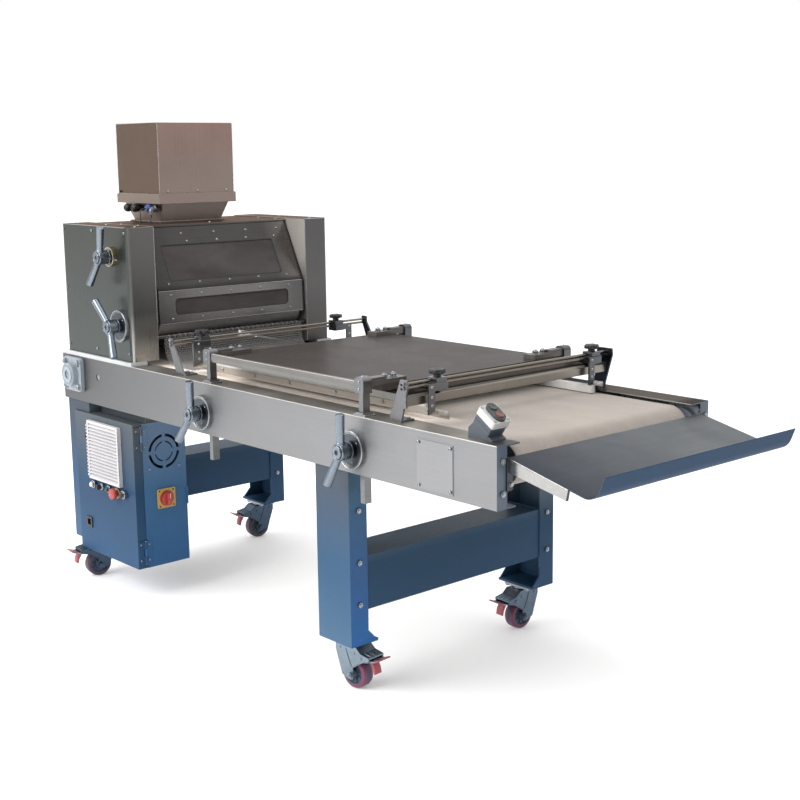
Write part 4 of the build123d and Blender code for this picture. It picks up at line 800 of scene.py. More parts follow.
tube(bm, [(19, -138, 1283), (227, -138, 1283), (227, 138, 1283), (19, 138, 1283), (19, -138, 1283)], 1.3, 8, 0, cap=False)
finish_mesh(bm, "hopper_seams", "hopper_edge", "frame")
bm = bmesh.new()
for y in (-122, 0, 122):
    lathe(bm, (263.3, y, 1390), (1, 0, 0), [(4.2, -1.8), (4.2, 0.1), (3.6, 1.2), (2.2, 2.0), (0, 2.3)], 18, 0)
for x in (27, 220):
    for y in (-110, 0, 110):
        screw(bm, (x - 4 if x < 100 else x + 1, y, 1283), (0, 0, 1), 3.4, 2.2)
finish_mesh(bm, "hopper_rivets", ("zinc", "dark"), "frame")
# glands, knurled connector, elbow and grommets on the chute; the white corner clip
bm = bmesh.new()
FZ = 1330.0
for gx in (58.0, 108.0):
    lathe(bm, (gx, -130.6, FZ), (0, -1, 0), [(11, 0), (11, 19), (13, 20.4), (13, 24), (11.4, 25), (11.4, 27)], 32, 0)
    lathe(bm, (gx, -158, FZ), (0, -1, 0), [(11, -4), (15.2, -4), (15.2, 3.2), (14.2, 4), (10, 4)], 6, 0)
    lathe(bm, (gx, -161, FZ), (0, -1, 0), [(13.2, 0), (13.9, 0.8), (13.9, 11), (13, 15), (9, 19), (4.6, 20), (4.2, 18.4), (0, 18.2)], 28, 0)
    for k in range(18):
        a = 2 * pi * k / 18
        rbox(bm, (gx + 14 * cos(a) - 0.9, -171, FZ + 14 * sin(a) - 0.9), (gx + 14 * cos(a) + 0.9, -162.5, FZ + 14 * sin(a) + 0.9), 0.4, 0)
lathe(bm, (196, -134.6, FZ), (0, -1, 0), [(13, 0), (13, 9.4), (14.6, 9.6), (14.6, 17.4), (13.4, 18.4), (12.6, 19.4)], 32, 1)
lathe(bm, (196, -154, FZ), (0, -1, 0), [(12.6, 0), (14.4, 1), (14.4, 14), (13.2, 15.4), (10.2, 15.8), (10.2, 20), (8.6, 21.6), (2.6, 22.0), (0, 21.6)], 28, 1)
for k in range(22):
    a = 2 * pi * k / 22
    rbox(bm, (196 + 14.2 * cos(a) - 0.8, -168, FZ + 14.2 * sin(a) - 0.8), (196 + 14.2 * cos(a) + 0.8, -155, FZ + 14.2 * sin(a) + 0.8), 0.35, 1)
lathe(bm, (226, -135.4, FZ), (0, -1, 0), [(9, 0), (9, 11.6), (13.2, 12), (13.8, 12.8), (13.8, 23.6), (13, 24.4), (9.2, 25)], 6, 2)
q = [(226, -158 - k * 1.4, FZ) for k in range(4)]
q += [(226, -162.2 - 9.8 * sin(radians(10 * k)), FZ - 9.8 + 9.8 * cos(radians(10 * k))) for k in range(10)]
q += [(226, -172, FZ - 12 - 3 * k) for k in range(4)]
tube(bm, q, 8.6, 24, 2)
torus(bm, (226, -160.6, FZ), (0, 1, 0), 8.9, 1.1, 28, 8, 2)
lathe(bm, (226, -172, FZ - 14), (0, 0, -1), [(8.4, 0), (9.6, 0.4), (9.6, 6), (8.4, 7), (5.2, 7.6), (2.6, 7.8), (0, 7.6)], 6, 2)
for gx, gy in ((208, -206), (236, -184)):
    lathe(bm, (gx, gy, 1280), (0, 0, 1), [(2.5, 5.2), (3.2, 6), (4.6, 5.8), (5.4, 4.2), (4.6, 3.4), (4.6, 2.4), (6, 2), (6, 0), (2.5, 0)], 24, 0)
rbox(bm, (-24.8, -164, 1378), (-8, -159.5, 1391), 1.5, 3)
fits = finish_mesh(bm, "hopper_fitting_set", ("black", "blue_plug", "fitting", "white"), "frame")
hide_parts("hopper_fittings")


def lead_curve(name, pts, r, key):
    cu = bpy.data.curves.new(name, "CURVE")
    cu.dimensions = "3D"
    sp = cu.splines.new("NURBS")
    sp.points.add(len(pts) - 1)
    for pt, q in zip(sp.points, pts):
        v = P(*q)
        pt.co = (v.x, v.y, v.z, 1.0)
    sp.order_u = 3
    sp.use_endpoint_u = True
    sp.resolution_u = 14
    cu.bevel_depth = r / 1000.0
    cu.bevel_resolution = 5
    cu.use_fill_caps = True
    cu.materials.append(M[key])
    o = bpy.data.objects.new(name, cu)
    bpy.context.scene.collection.objects.link(o)
    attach(o, "frame")
    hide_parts("hopper_fittings")
    return o


lead_a = lead_curve("connector_lead", [(196, -176, FZ), (196, -198, FZ), (208, -206, FZ - 22), (208, -206, 1280.4)], 2.4, "lead")
lead_b = lead_curve("elbow_lead", [(226, -172, FZ - 22), (226, -172, FZ - 27), (236, -184, FZ - 36), (236, -184, 1280.4)], 2.4, "lead")

# ------------------------------------------------------------------ canvas belt
# endless woven band with soft rounded edges, stitched hems and a laced joint on the return run
DX, TX, RZ, BW = 90.0, 2128.0, 755.0, 342.5
R_IN, R_OUT = 53.35, 57.28
SPAN = TX - DX
R_MID = (R_IN + R_OUT) / 2.0
LOOP = 2 * SPAN + 2 * pi * R_MID


def on_loop(d, r):
    """point (x, z) and outward normal at distance d along the loop, at radius r from the rollers' axes"""
    d = d % LOOP
    if d < SPAN:
        return DX + d, RZ + r, 0.0, 1.0
    d -= SPAN
    if d < pi * R_MID:
        a = pi / 2 - d / R_MID
        return TX + r * cos(a), RZ + r * sin(a), cos(a), sin(a)
    d -= pi * R_MID
    if d < SPAN:
        return TX - d, RZ - r, 0.0, -1.0
    a = -pi / 2 - (d - SPAN) / R_MID
    return DX + r * cos(a), RZ + r * sin(a), cos(a), sin(a)


stations = [SPAN * k / 84.0 for k in range(84)] + [SPAN + pi * R_MID * k / 20.0 for k in range(20)]
stations += [SPAN + pi * R_MID + SPAN * k / 84.0 for k in range(84)] + [2 * SPAN + pi * R_MID + pi * R_MID * k / 20.0 for k in range(20)]
half_t = (R_OUT - R_IN) / 2.0
sect = [(-BW + 0.5, -0.45), (-BW, 0.0), (-BW + 0.5, 0.45), (-BW + 1.6, 0.86), (-BW + 5, 1.0), (-BW + 13, 0.97), (-BW + 22, 1.0), (-BW + 24.5, 0.80)]
sect += [(-BW + 24.5 + (2 * BW - 49.0) * k / 14.0, 0.80) for k in range(1, 14)]
sect += [(BW - 24.5, 0.80), (BW - 22, 1.0), (BW - 13, 0.97), (BW - 5, 1.0), (BW - 1.6, 0.86), (BW - 0.5, 0.45), (BW, 0.0), (BW - 0.5, -0.45), (BW - 1.6, -0.86), (BW - 5, -1.0)]
sect += [(BW - 5 - (2 * BW - 10.0) * k / 12.0, -1.0) for k in range(1, 12)]
sect += [(-BW + 5, -1.0), (-BW + 1.6, -0.86)]
bm = bmesh.new()
rings = []
for d in stations:
    ph = 2 * pi * d / LOOP
    wob = 0.5 * sin(9 * ph + 0.6) + 0.35 * sin(23 * ph + 1.9)
    ring = []
    for y, h in sect:
        sag = 0.12 * (sin(14 * ph + y / 90.0) + sin(31 * ph - y / 55.0)) - 0.24
        r = R_MID + half_t * h + (sag if 0.7 < h < 0.9 else 0.0)
        x, z, _, _ = on_loop(d, r)
        yy = y - (1.0 + wob) * (1 if y > 0 else -1) * (1 if abs(y) > BW - 30 else 0)
        ring.append(bm.verts.new(P(x, yy, z)))
    rings.append(ring)
m = len(sect)
for k in range(len(rings)):
    a, b = rings[k], rings[(k + 1) % len(rings)]
    for j in range(m):
        bm.faces.new((a[j], b[j], b[(j + 1) % m], a[(j + 1) % m]))
belt = finish_mesh(bm, "belt_band", "canvas", "frame", 50)
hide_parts("conveyor_belt")
bm = bmesh.new()
pitch = 9.0
cnt = int(LOOP / pitch)
for k in range(cnt):
    d0 = k * LOOP / cnt
    for y in (-BW + 7.5, -BW + 18.5, BW - 7.5, BW - 18.5):
        pts = []
        for t, h in ((0.0, -0.35), (1.6, 0.16), (3.2, 0.22), (4.8, 0.16), (6.4, -0.35)):
            x, z, _, _ = on_loop(d0 + t, R_OUT + h - 0.25)
            pts.append((x, y, z))
        tube(bm, pts, 0.42, 5, 0, cap=False)
stitches = finish_mesh(bm, "belt_stitching", "thread", "frame", 80)
bm = bmesh.new()
d_joint = SPAN + pi * R_MID + 700.0
for k in range(96):
    y = -BW + 8 + (2 * BW - 16.0) * k / 95.0
    pts = []
    for j in range(9):
        a = 2 * pi * j / 8.0
        x, z, _, _ = on_loop(d_joint + 6.0 * cos(a), R_MID + 1.15 * sin(a))
        pts.append((x, y + 0.4 * sin(a), z))
    tube(bm, pts, 0.55, 5, 0, cap=False)
lacing = finish_mesh(bm, "belt_lacing", "zinc", "frame", 80)

# ------------------------------------------------------------------ rails, bearings, lift
bm = bmesh.new()
for x in (1912, 2031):
    for z in (678, 791):
        screw(bm, (x, -429.1, z), (0, -1, 0), 4.6, 2.4)
finish_mesh(bm, "cover_screws", ("zinc", "dark"), "frame")
bm = bmesh.new()
# a light line along the near rail's outer top edge (painted highlight), and dark lines along the far rail's outer top
# edge (painted shade) and along both flanges' inner edges
for s in (-1, 1):
    tube(bm, [(1.0 + 2191.0 * k / 60.0, s * 424.3, 821.4) for k in range(61)], 1.3, 8, 0 if s < 0 else 1)
    tube(bm, [(1.0 + 2191.0 * k / 60.0, s * 345.6, 820.0) for k in range(61)], 1.6, 8, 1)
finish_mesh(bm, "rail_edges", ("rail_line", "rail_lip"), "frame")
# flange bearing trim: grease nipple, flange bolts with nuts, seal rings
bm = bmesh.new()
for x, y, d in ((90, -425, -1), (90, 425, 1)):
    torus(bm, (x, y + d * 33.4, 755), (0, 1, 0), 22.0, 2.4, 32, 8, 0)
    torus(bm, (x, y + d * 33.4, 755), (0, 1, 0), 36.0, 1.8, 36, 8, 0)
    lathe(bm, (x - 30, y + d * 14, 755 + 30), (-0.5, d * 0.7, 0.5), [(0, 0), (4.2, 0), (4.2, 4), (2.6, 5), (2.6, 9), (3.2, 10), (2.0, 12.5), (0, 12.5)], 12, 1)
    for sx in (-1, 1):
        for sz in (-1, 1):
            hexnut(bm, (x + sx * 43, y + d * 14.1, 755 + sz * 43), (0, d, 0), 10.2, 8.2, True, True, 1, 0.3 * sx)
finish_mesh(bm, "bearing_trim", ("bearing", "zinc"), "frame")
bm = bmesh.new()
for x in (902, 1641):
    for s in (-1, 1):
        for dx, dy in ((8, -419), (46, -419), (8, -387), (46, -387)):
            screw(bm, (x + dx, s * dy * -1 if s > 0 else dy, 826), (0, 0, 1), 3.2, 2.0)
finish_mesh(bm, "collar_screws", ("zinc", "dark"), "frame")
bm = bmesh.new()
for x in (902, 1641):
    for s in (-1, 1):
        for y in (319, 286):
            hexnut(bm, (x + 12, s * y, 914.0), (0, 0, 1), 9.2, 8.4, True, True, 0, 0.2)
        for z in (894, 914):
            screw(bm, (x + 21, s * 417.1, z), (0, s, 0), 4.2, 2.4, 0, 1)
        screw(bm, (x + 21, s * 402, 928), (0, 0, 1), 4.6, 2.6, 0, 1)
finish_mesh(bm, "lift_screws", ("zinc", "dark"), "board")
# polished round-backed skin along the near tie bar
bm = bmesh.new()
prof = [(-400.4, 888.4), (-411.4, 888.4)] + [(-411.4 - 3.2 * sin(pi * k / 10.0), 888.4 + 25.2 * k / 10.0) for k in range(1, 10)] + [(-411.4, 913.6), (-400.4, 914.4)]
rings = []
for x in (942.6, 1100.0, 1290.0, 1470.0, 1642.4):
    rings.append([bm.verts.new(P(x, y, z)) for y, z in prof])
for a, b in zip(rings, rings[1:]):
    for k in range(len(prof) - 1):
        bm.faces.new((a[k], b[k], b[k + 1], a[k + 1]))
bm.faces.new(rings[0])
bm.faces.new(rings[-1][::-1])
# light line along the bar's top edge: painted highlight
tube(bm, [(944.0 + 697.0 * k / 20.0, -411.6, 913.8) for k in range(21)], 0.9, 8, 1)
finish_mesh(bm, "tie_bar_skin", ("polish", "rail_line"), "board", 50)

# ------------------------------------------------------------------ guide rods and guides
bm = bmesh.new()
for x in (690, 1826):
    for s in (-1, 1):
        for z in (926, 914.5):
            hexnut(bm, (x, 414.2 if s > 0 else -400.2, z), (0, s, 0), 5.6, 5.5, False, False, 0, 0.25)
            lathe(bm, (x, 422 if s > 0 else -408, z), (0, s, 0), [(4.0, -4), (4.0, -0.8), (3.3, 0), (0, 0)], 16, 0)
finish_mesh(bm, "rod_nuts", "zinc", "frame")
bm = bmesh.new()
for s in (-1, 1):
    for bx in (((730, 756)), ((1772, 1806) if s < 0 else (1790, 1815))):
        for x in bx:
            hexnut(bm, (x, s * 366, 827), (0, 0, 1), 5.6, 4.2, True, False, 0, 0.4)
finish_mesh(bm, "bracket_bolts", "zinc", "frame")
for s, side in ((-1, "near"), (1, "far")):
    bm = bmesh.new()
    for x in ((820, 996, 1178, 1401, 1611, 1802) if side == "near" else (880, 1057, 1236, 1460, 1666)):
        screw(bm, (x, -292.1 if side == "near" else 340.1, 838), (0, s, 0), 5.2, 3.0)
    for x in (690, 1826):
        for z in (911, 884, 862):
            screw(bm, (x + 24, -309 if side == "near" and x < 1000 else s * 321, z), (1, 0, 0), 4.0, 2.4)
        if side == "near":
            lathe(bm, (x + 23, -295.5, 841), (1, 0, 0), [(0, 0), (6.2, 0), (6.5, 0.6), (6.5, 31.6), (5.6, 33), (0, 33)], 18, 0)
        else:
            lathe(bm, (x + 24, 332, 842), (1, 0, 0), [(0, 0), (7.2, 0), (7.6, 0.6), (7.6, 29), (6.6, 30), (0, 30)], 18, 0)
    finish_mesh(bm, side + "_guide_screws", ("rail_line", "zinc_dark"), side + "_guide")
    # the liner's softened top edges
    bm = bmesh.new()
    runs = ((684, 1686, 865.3), (1701, 1774, 879.3)) if side == "near" else ((684, 1842, 835.3),)
    for y in ((285.2, 264.8) if side == "near" else (333.2, 312.8)):
        for xa, xb, zz in runs:
            tube(bm, [(xa + (xb - xa) * k / 30.0, s * y, zz) for k in range(31)], 0.9, 8)
    finish_mesh(bm, side + "_liner_edges", "white", side + "_guide")

# clamp knobs: lobed black heads on a moulded stem
for side in ("near", "far"):
    for end, x in (("rear", 690), ("front", 1826)):
        y = {"nearrear": -280, "nearfront": -280, "farrear": 280, "farfront": 345}[side + end]
        bm = bmesh.new()
        lathe(bm, (x, y, 930.6), (0, 0, 1), [(0, 0), (4, 0), (4, 2.9), (10.4, 3.0), (11, 3.6), (10.2, 6), (11.2, 9.5), (15, 11.2)], 28, 0)
        seg = 48
        layers = [(0.80, 10.6), (0.96, 11.4), (1.0, 13.0), (1.0, 20.0), (0.965, 22.2), (0.88, 23.3), (0.55, 23.4), (0.5, 22.4), (0.0, 22.2)]
        rings = []
        for k, h in layers:
            if k == 0.0:
                rings.append([bm.verts.new(P(x, y, 930.6 + h))])
                continue
            ring = []
            for j in range(seg):
                a = 2 * pi * j / seg
                r = 20.2 + 2.7 * cos(6 * a) if k > 0.6 else 20.2
                ring.append(bm.verts.new(P(x + r * k * cos(a), y + r * k * sin(a), 930.6 + h)))
            rings.append(ring)
        for a, b in zip(rings, rings[1:]):
            for j in range(seg):
                if len(b) == 1:
                    bm.faces.new((a[j], a[(j + 1) % seg], b[0]))
                else:
                    bm.faces.new((a[j], a[(j + 1) % seg], b[(j + 1) % seg], b[j]))
        bm.faces.new(rings[0][::-1])
        o = finish_mesh(bm, "knob_%s_%s_head" % (side, end), "black", "knob_%s_%s" % (side, end), 40)
        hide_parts("clamp_knob_%s_%s" % (side, end))

# ------------------------------------------------------------------ legs and casters
bm = bmesh.new()
for x0 in (12.0, 1463.0):
    for s in (-1, 1):
        for zz in (246.5, 403.5):
            bead(bm, (x0 + 6, s * 356, zz), (x0 + 142, s * 356, zz), 2.6, 6)
        for xx in (x0 + 1.5, x0 + 146.5):
            bead(bm, (xx, s * 356, 214), (xx, s * 356, 250), 2.0, 6)
            bead(bm, (xx, s * 352, 156), (xx, s * 328, 156), 2.0, 6)
finish_mesh(bm, "frame_welds", "leg_side", "frame")
bm = bmesh.new()
for x0 in (12.0, 1463.0):
    for s in (-1, 1):
        if x0 > 500 or s > 0:
            for z in (267, 390, 541):
                hexnut(bm, (x0 + 148.1, s * 386, z), (1, 0, 0), 8.1, 6.2, False, True, 0, 0.3)
finish_mesh(bm, "leg_bolts", "zinc", "frame")
for k, (cx, cy, a) in {"near_front": (1537, -355, radians(7)), "far_front": (1537, 355, radians(-92)),
                       "near_rear": (86, -355, radians(-98)), "far_rear": (86, 355, radians(-98))}.items():
    U, V = Vector((cos(a), sin(a), 0)), Vector((-sin(a), cos(a), 0))

    def L(u, v, z):
        return (cx + U.x * u + V.x * v, cy + U.y * u + V.y * v, z)

    vt = tuple(V)
    bm = bmesh.new()
    for s in (-1, 1):
        sv = tuple(V * s)
        hexnut(bm, L(20, s * 31.1, 45), sv, 9.2, 6.2, True, True, 0, 0.2)
        lathe(bm, L(58, s * 31, 101), sv, [(0, 0), (6.5, 0), (6.5, 1.2), (5.0, 2.4), (0, 2.6)], 16, 0)
        # pressed ribs, folded hood edge and rivets on the fork's cheek
        tube(bm, [L(u, s * 31.2, z) for u, z in ((2, 120), (10, 98), (18, 80), (24, 70))], 1.8, 8, 0)
        tube(bm, [L(u, s * 31.2, z) for u, z in ((26, 68), (46, 80), (68, 92.6), (90, 97.6))], 1.5, 8, 0)
        tube(bm, [L(u, s * 30.6, z) for u, z in ((38, 131.6), (41, 131), (58, 115.4), (61, 114.2), (76, 111.4), (90, 108.6), (91.6, 105.6))], 1.5, 8, 0)
        lathe(bm, L(-22, s * 31, 118), sv, [(0, 0), (4.5, 0), (4, 1.4), (0, 2)], 12, 0)
        lathe(bm, L(34, s * 31, 112), sv, [(0, 0), (4.5, 0), (4, 1.4), (0, 2)], 12, 0)
    for j in range(3):
        tube(bm, [L(u, -16 + 16 * j, z) for u, z in ((60, 114.4), (74, 111.8), (87, 109.3))], 1.3, 6, 0)
    torus(bm, (cx, cy, 131.2), (0, 0, 1), 32.0, 1.6, 40, 8, 0)
    # the trim takes its fork's lit or shaded zinc copy: painted light and shade
    finish_mesh(bm, "caster_%s_trim" % k, {"near_front": "zinc_blue", "far_front": "zinc_mid"}.get(k, "zinc_navy"), "caster_" + k)
    # wheel: rounded tread with a mould line, ribbed core discs and hub rings
    bm = bmesh.new()
    def tread(pf, mi):
        lathe(bm, L(20, 0, 45), vt, pf, 48, mi)

    tread([(44.75, -9.0), (44.9, -4.0), (44.9, -1.2), (44.5, 0), (44.9, 1.2), (44.9, 4.0), (44.75, 9.0)], 2)
    for s in (-1, 1):
        sv = tuple(V * s)
        lathe(bm, L(20, 0, 45), sv, [(44.75, 9.0), (44.4, 14.0), (43.0, 17.4), (40.5, 19.4), (37, 20.0), (33, 19.7)], 48, 0)
        lathe(bm, L(20, 0, 45), sv, [(33, 19.7), (31, 19.2), (30.2, 17.6), (28.5, 14.0), (15, 12.0), (13.8, 14.0), (13.4, 25.0), (11.4, 26.4), (5.06, 26.4)], 40, 1)
        for j in range(9):
            b2 = 2 * pi * j / 9
            rr = Vector((0, 0, 1)) * cos(b2) + U * sin(b2)
            p0, p1 = Vector(L(20, s * 14.0, 45)) + rr * 14.5, Vector(L(20, s * 15.2, 45)) + rr * 28.6
            tube(bm, [tuple(p0), tuple((p0 + p1) / 2), tuple(p1)], 1.8, 6, 1)
        torus(bm, L(20, s * 19.4, 45), sv, 34.0, 0.8, 40, 6, 1)
    # front tyres with the shaded running band (wheel_run) and rear tyres wholly in the darker wheel_dark copy: painted
    # shade
    o = finish_mesh(bm, "wheel_%s_tyre" % k, ("wheel", "core", "wheel_run") if "front" in k else ("wheel_dark", "core", "wheel_dark"), "wheel_" + k, 35)
    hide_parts("caster_wheel_" + k)
    # pedal: pressed steel tread, red tip and red release blade
    bm = bmesh.new()
    lathe(bm, L(58, -26.3, 101), vt, [(4.06, 0), (7.4, 0), (8, 0.7), (8, 51.9), (7.4, 52.6), (4.06, 52.6)], 24, 0)

    def slab(pts, w, bev, mi, vc=0.0):
        n = len(pts)
        tmp = []
        for sgn, ww in ((-1, w - bev), (-1, w), (1, w), (1, w - bev)):
            k2 = 1.0 if ww == w else 0.0
            ring = []
            cu = sum(p[0] for p in pts) / n
            cz = sum(p[1] for p in pts) / n
            for u, z in pts:
                du, dz = u - cu, z - cz
                ln = max(1e-6, hypot(du, dz))
                kk = 1.0 - (bev if (sgn, ww) in ((-1, w), (1, w)) else 0.0) / ln
                ring.append(bm.verts.new(P(*L(cu + du * kk, vc + sgn * ww, cz + dz * kk))))
            tmp.append(ring)
        order = [tmp[1], tmp[0], tmp[3], tmp[2]]
        for r0, r1 in zip(order, order[1:]):
            for j in range(n):
                f = bm.faces.new((r0[j], r0[(j + 1) % n], r1[(j + 1) % n], r1[j]))
                f.material_index = mi
        f = bm.faces.new(order[0])
        f.material_index = mi
        f = bm.faces.new(order[-1][::-1])
        f.material_index = mi

    slab([(60, 94.6), (62, 103.6), (90, 100.8), (90, 94.9)], 26.2, 1.0, 0)
    slab([(89.6, 94.9), (89.6, 100.8), (104, 102.8), (109, 104.8), (109, 98.6)], 26.2, 1.0, 0)
    slab([(108.6, 98.4), (108.6, 104.6), (117, 107.8), (123, 109.8), (125.8, 107), (117, 102.4)], 26.2, 1.2, 1)
    slab([(80, 95.6), (89.4, 96.6), (100.6, 80), (103.6, 60.4), (100.4, 58.6), (96.4, 57.6), (92.4, 72)], 13.2, 1.4, 1, -2.5)
    for j in (-1, 0, 1):
        tube(bm, [L(92, j * 14, 101.0), L(98, j * 14, 101.9), L(105, j * 14, 103.0)], 1.2, 6, 0)
    # front pedal treads in the lit zinc copy: painted light
    o = finish_mesh(bm, "pedal_%s_tread" % k, ("zinc_blue", "pedal") if "front" in k else ("pedal_pale", "pedal"), "pedal_" + k, 35)
    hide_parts("brake_pedal_" + k)
    bm = bmesh.new()
    for sx in (-1, 1):
        for sy in (-1, 1):
            hexnut(bm, (cx + sx * 41, cy + sy * 26, 140.4), (0, 0, -1), 7.4, 4.8, True, False, 0, 0.2)
    lathe(bm, (cx, cy, 132.9), (0, 0, 1), [(33, 0), (34, 1.5), (34, 5.5), (32, 7.5)], 40, 0)
    finish_mesh(bm, "caster_plate_bolts_%s" % k, "zinc", "frame")

# ------------------------------------------------------------------ catch tray
bm = bmesh.new()
for s in (-1, 1):
    # bright folded arms under the tray's ends
    x0, z0, x1, z1 = 2193.0, 788.6, 2391.0, 743.6
    d = Vector((x1 - x0, 0, z1 - z0)).normalized()
    dn = Vector((d.z, 0, -d.x))
    if dn.z > 0:
        dn = -dn
    pr = []
    for t, hgt in ((0.0, 34.5), (1.0, 27.5)):
        p = Vector((x0, 0, z0)).lerp(Vector((x1, 0, z1)), t)
        pr.append((p, hgt))
    for ya, yb in ((388.2, 389.6),):
        q = []
        for p, hgt in pr:
            q.append((Vector((p.x, 0, p.z)), Vector((p.x + dn.x * hgt, 0, p.z + dn.z * hgt))))
        outer = [bm.verts.new(P(v.x, s * yb, v.z)) for v in (q[0][0], q[1][0], q[1][1], q[0][1])]
        inner = [bm.verts.new(P(v.x, s * 381.0, v.z)) for v in (q[0][0], q[1][0], q[1][1], q[0][1])]
        bm.faces.new(outer)
        bm.faces.new(inner[::-1])
        for j in range(4):
            bm.faces.new((outer[j], inner[j], inner[(j + 1) % 4], outer[(j + 1) % 4]))
        tube(bm, [tuple(Vector((q[0][0].x, s * 389.0, q[0][0].z)).lerp(Vector((q[1][0].x, s * 389.0, q[1][0].z)), j / 10.0)) for j in range(11)], 1.4, 8)
finish_mesh(bm, "tray_arms", "bright", "frame", 40)
bm = bmesh.new()
tube(bm, [(2499.6, -387 + 774.0 * k / 30.0, 791.0) for k in range(31)], 1.3, 8, 1)
tube(bm, [(2196.6, -387 + 774.0 * k / 30.0, 788.6) for k in range(31)], 1.2, 8)
finish_mesh(bm, "tray_hems", ("edge", "lip"), "frame")
bm = bmesh.new()
for y in (-60, 40):
    screw(bm, (2425, y, 737.3), (0.22, 0, 0.97), 4.2, 2.4)
finish_mesh(bm, "tray_screws", ("zinc", "dark"), "frame")
bm = bmesh.new()
for s in (-1, 1):
    for z in (700, 782):
        hexnut(bm, (2193.1, s * 407, z), (1, 0, 0), 8.1, 6.0, False, True, 0, 0.3)
    for z in (722, 764):
        hexnut(bm, (2198.1, s * 381, z), (1, 0, 0), 5.8, 4.2, True, False, 0, 0.3)
finish_mesh(bm, "rail_end_bolts", "zinc", "frame")

# ------------------------------------------------------------------ push-button station
AA = radians(33.0)
SC0 = Vector((2137.0, -374.0, 888.6))
SU, SN, SV = Vector((cos(AA), 0, -sin(AA))), Vector((sin(AA), 0, cos(AA))), Vector((0, 1, 0))


def st(u, v, n):
    return tuple(SC0 + SU * u + SV * v + SN * n)


def in_station(x, y, z):
    d = Vector((x, y, z)) - SC0
    return d.dot(SU), d.dot(SV), d.dot(SN)


paint_faces("station_box", "station_base", lambda x, y, z, n: in_station(x, y, z)[2] < -20.6)
# painted light: the near side faces take the warmer station_side copy
paint_faces("station_box", "station_side", lambda x, y, z, n: -20.6 <= in_station(x, y, z)[2] < -0.4 and n.y < -0.5)
paint_faces("station_box", "station_oval", lambda x, y, z, n: in_station(x, y, z)[2] > 0.4 or (-12.6 < in_station(x, y, z)[2] < -0.2 and abs(in_station(x, y, z)[1]) < 12.5 and abs(abs(in_station(x, y, z)[0]) - 14) < 12.5))
bm = bmesh.new()
tube(bm, [st(b, a, -20.8) for a, b in rr_path(28.6, 33.1, 6)], 0.9, 6, 0, cap=False)
tube(bm, [st(b, a, -34.0) for a, b in rr_path(27.1, 31.1, 4)], 0.8, 6, 0, cap=False)
for a, b in ((-22.5, -27), (22.5, -27), (-22.5, 27), (22.5, 27)):
    lathe(bm, st(b, a, 0), tuple(SN), [(3.8, -0.2), (3.8, 0.5), (2.9, 0.7), (2.7, -1.2), (0, -1.2)], 14, 0)
lathe(bm, (2066, -374, 834), (-1, 0, 0.0), [(0, 0), (9.0, 0), (9.0, 7), (7.5, 7.5), (7.5, 12), (5.5, 14.5), (0, 15)], 6, 1)
for yy in (-392, -356):
    screw(bm, (2144, yy, 826.6), (0.5, 0, 0.86), 3.4, 2.0, 1, 1)
finish_mesh(bm, "station_trim", ("station_base", "black"), "frame")
bm = bmesh.new()
tube(bm, [st(b, a, 7.4) for a, b in rr_path(16.3, 30.3, 15.9)], 1.1, 8, 0, cap=False)
finish_mesh(bm, "station_oval_rim", "station_oval", "frame")
for name, body, u, key in (("start_button", "start", -14.0, "green"), ("stop_button", "stop", 14.0, "orange")):
    bm = bmesh.new()
    lathe(bm, st(u, 0, 0), tuple(SN), [(0, -3.9), (11.0, -3.9), (11.1, 9.4), (10.6, 11.0), (9.0, 11.8), (8.2, 11.3), (0, 10.8)], 32, 0)
    o = finish_mesh(bm, body + "_cap", key, body, 30)
    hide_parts(name)

# ------------------------------------------------------------------ control cabinet
bm = bmesh.new()
# panel devices: white lamp, metal selector, green lamp, dark lamp; bezel rings
for x, z, y, r, mi in ((194, 371, -437, 9.4, 0), (296, 371, -434, 8.7, 2), (404, 371, -439, 10.1, 3)):
    lathe(bm, (x, y - 5.9, z), (0, -1, 0), [(r * 0.99, -4), (r, 0), (r * 0.94, 3.2), (r * 0.7, 5.6), (r * 0.35, 6.9), (0, 7.2)], 28, mi)
    torus(bm, (x, y - 0.3, z), (0, 1, 0), r * 1.32, 1.5, 32, 8, 1)
lathe(bm, (247, -434, 371), (0, -1, 0), [(11.8, -0.2), (11.2, 2), (9.2, 2.4), (8.7, 6.2)], 28, 1)
rbox(bm, (243.5, -452, 362), (250.5, -439.5, 380), 1.6, 3)
finish_mesh(bm, "panel_lenses", ("white", "chrome", "green", "black"), "frame")
bm = bmesh.new()
torus(bm, (349, -431.2, 365), (0, 1, 0), 17.8, 1.6, 36, 8, 0)
finish_mesh(bm, "estop_ring", "yellow", "frame")
bm = bmesh.new()
lathe(bm, (349, -425, 365), (0, -1, 0), [(0, -6), (11.1, -6), (11.15, 13.2), (14, 13.4), (14, 15.4), (18.2, 15.6), (19.6, 17.2), (20, 20.5), (19.6, 25), (17.8, 28.2), (13, 29.6), (0, 30)], 40, 0)
for k in range(3):
    a0 = 2 * pi * k / 3
    torus(bm, (349, -454.4, 365), (0, 1, 0), 12.0, 0.7, 10, 6, 1, a0, a0 + 1.3)
o = finish_mesh(bm, "estop_cap", ("red", "red_dark"), "estop", 35)
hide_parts("estop_button")

bm = bmesh.new()
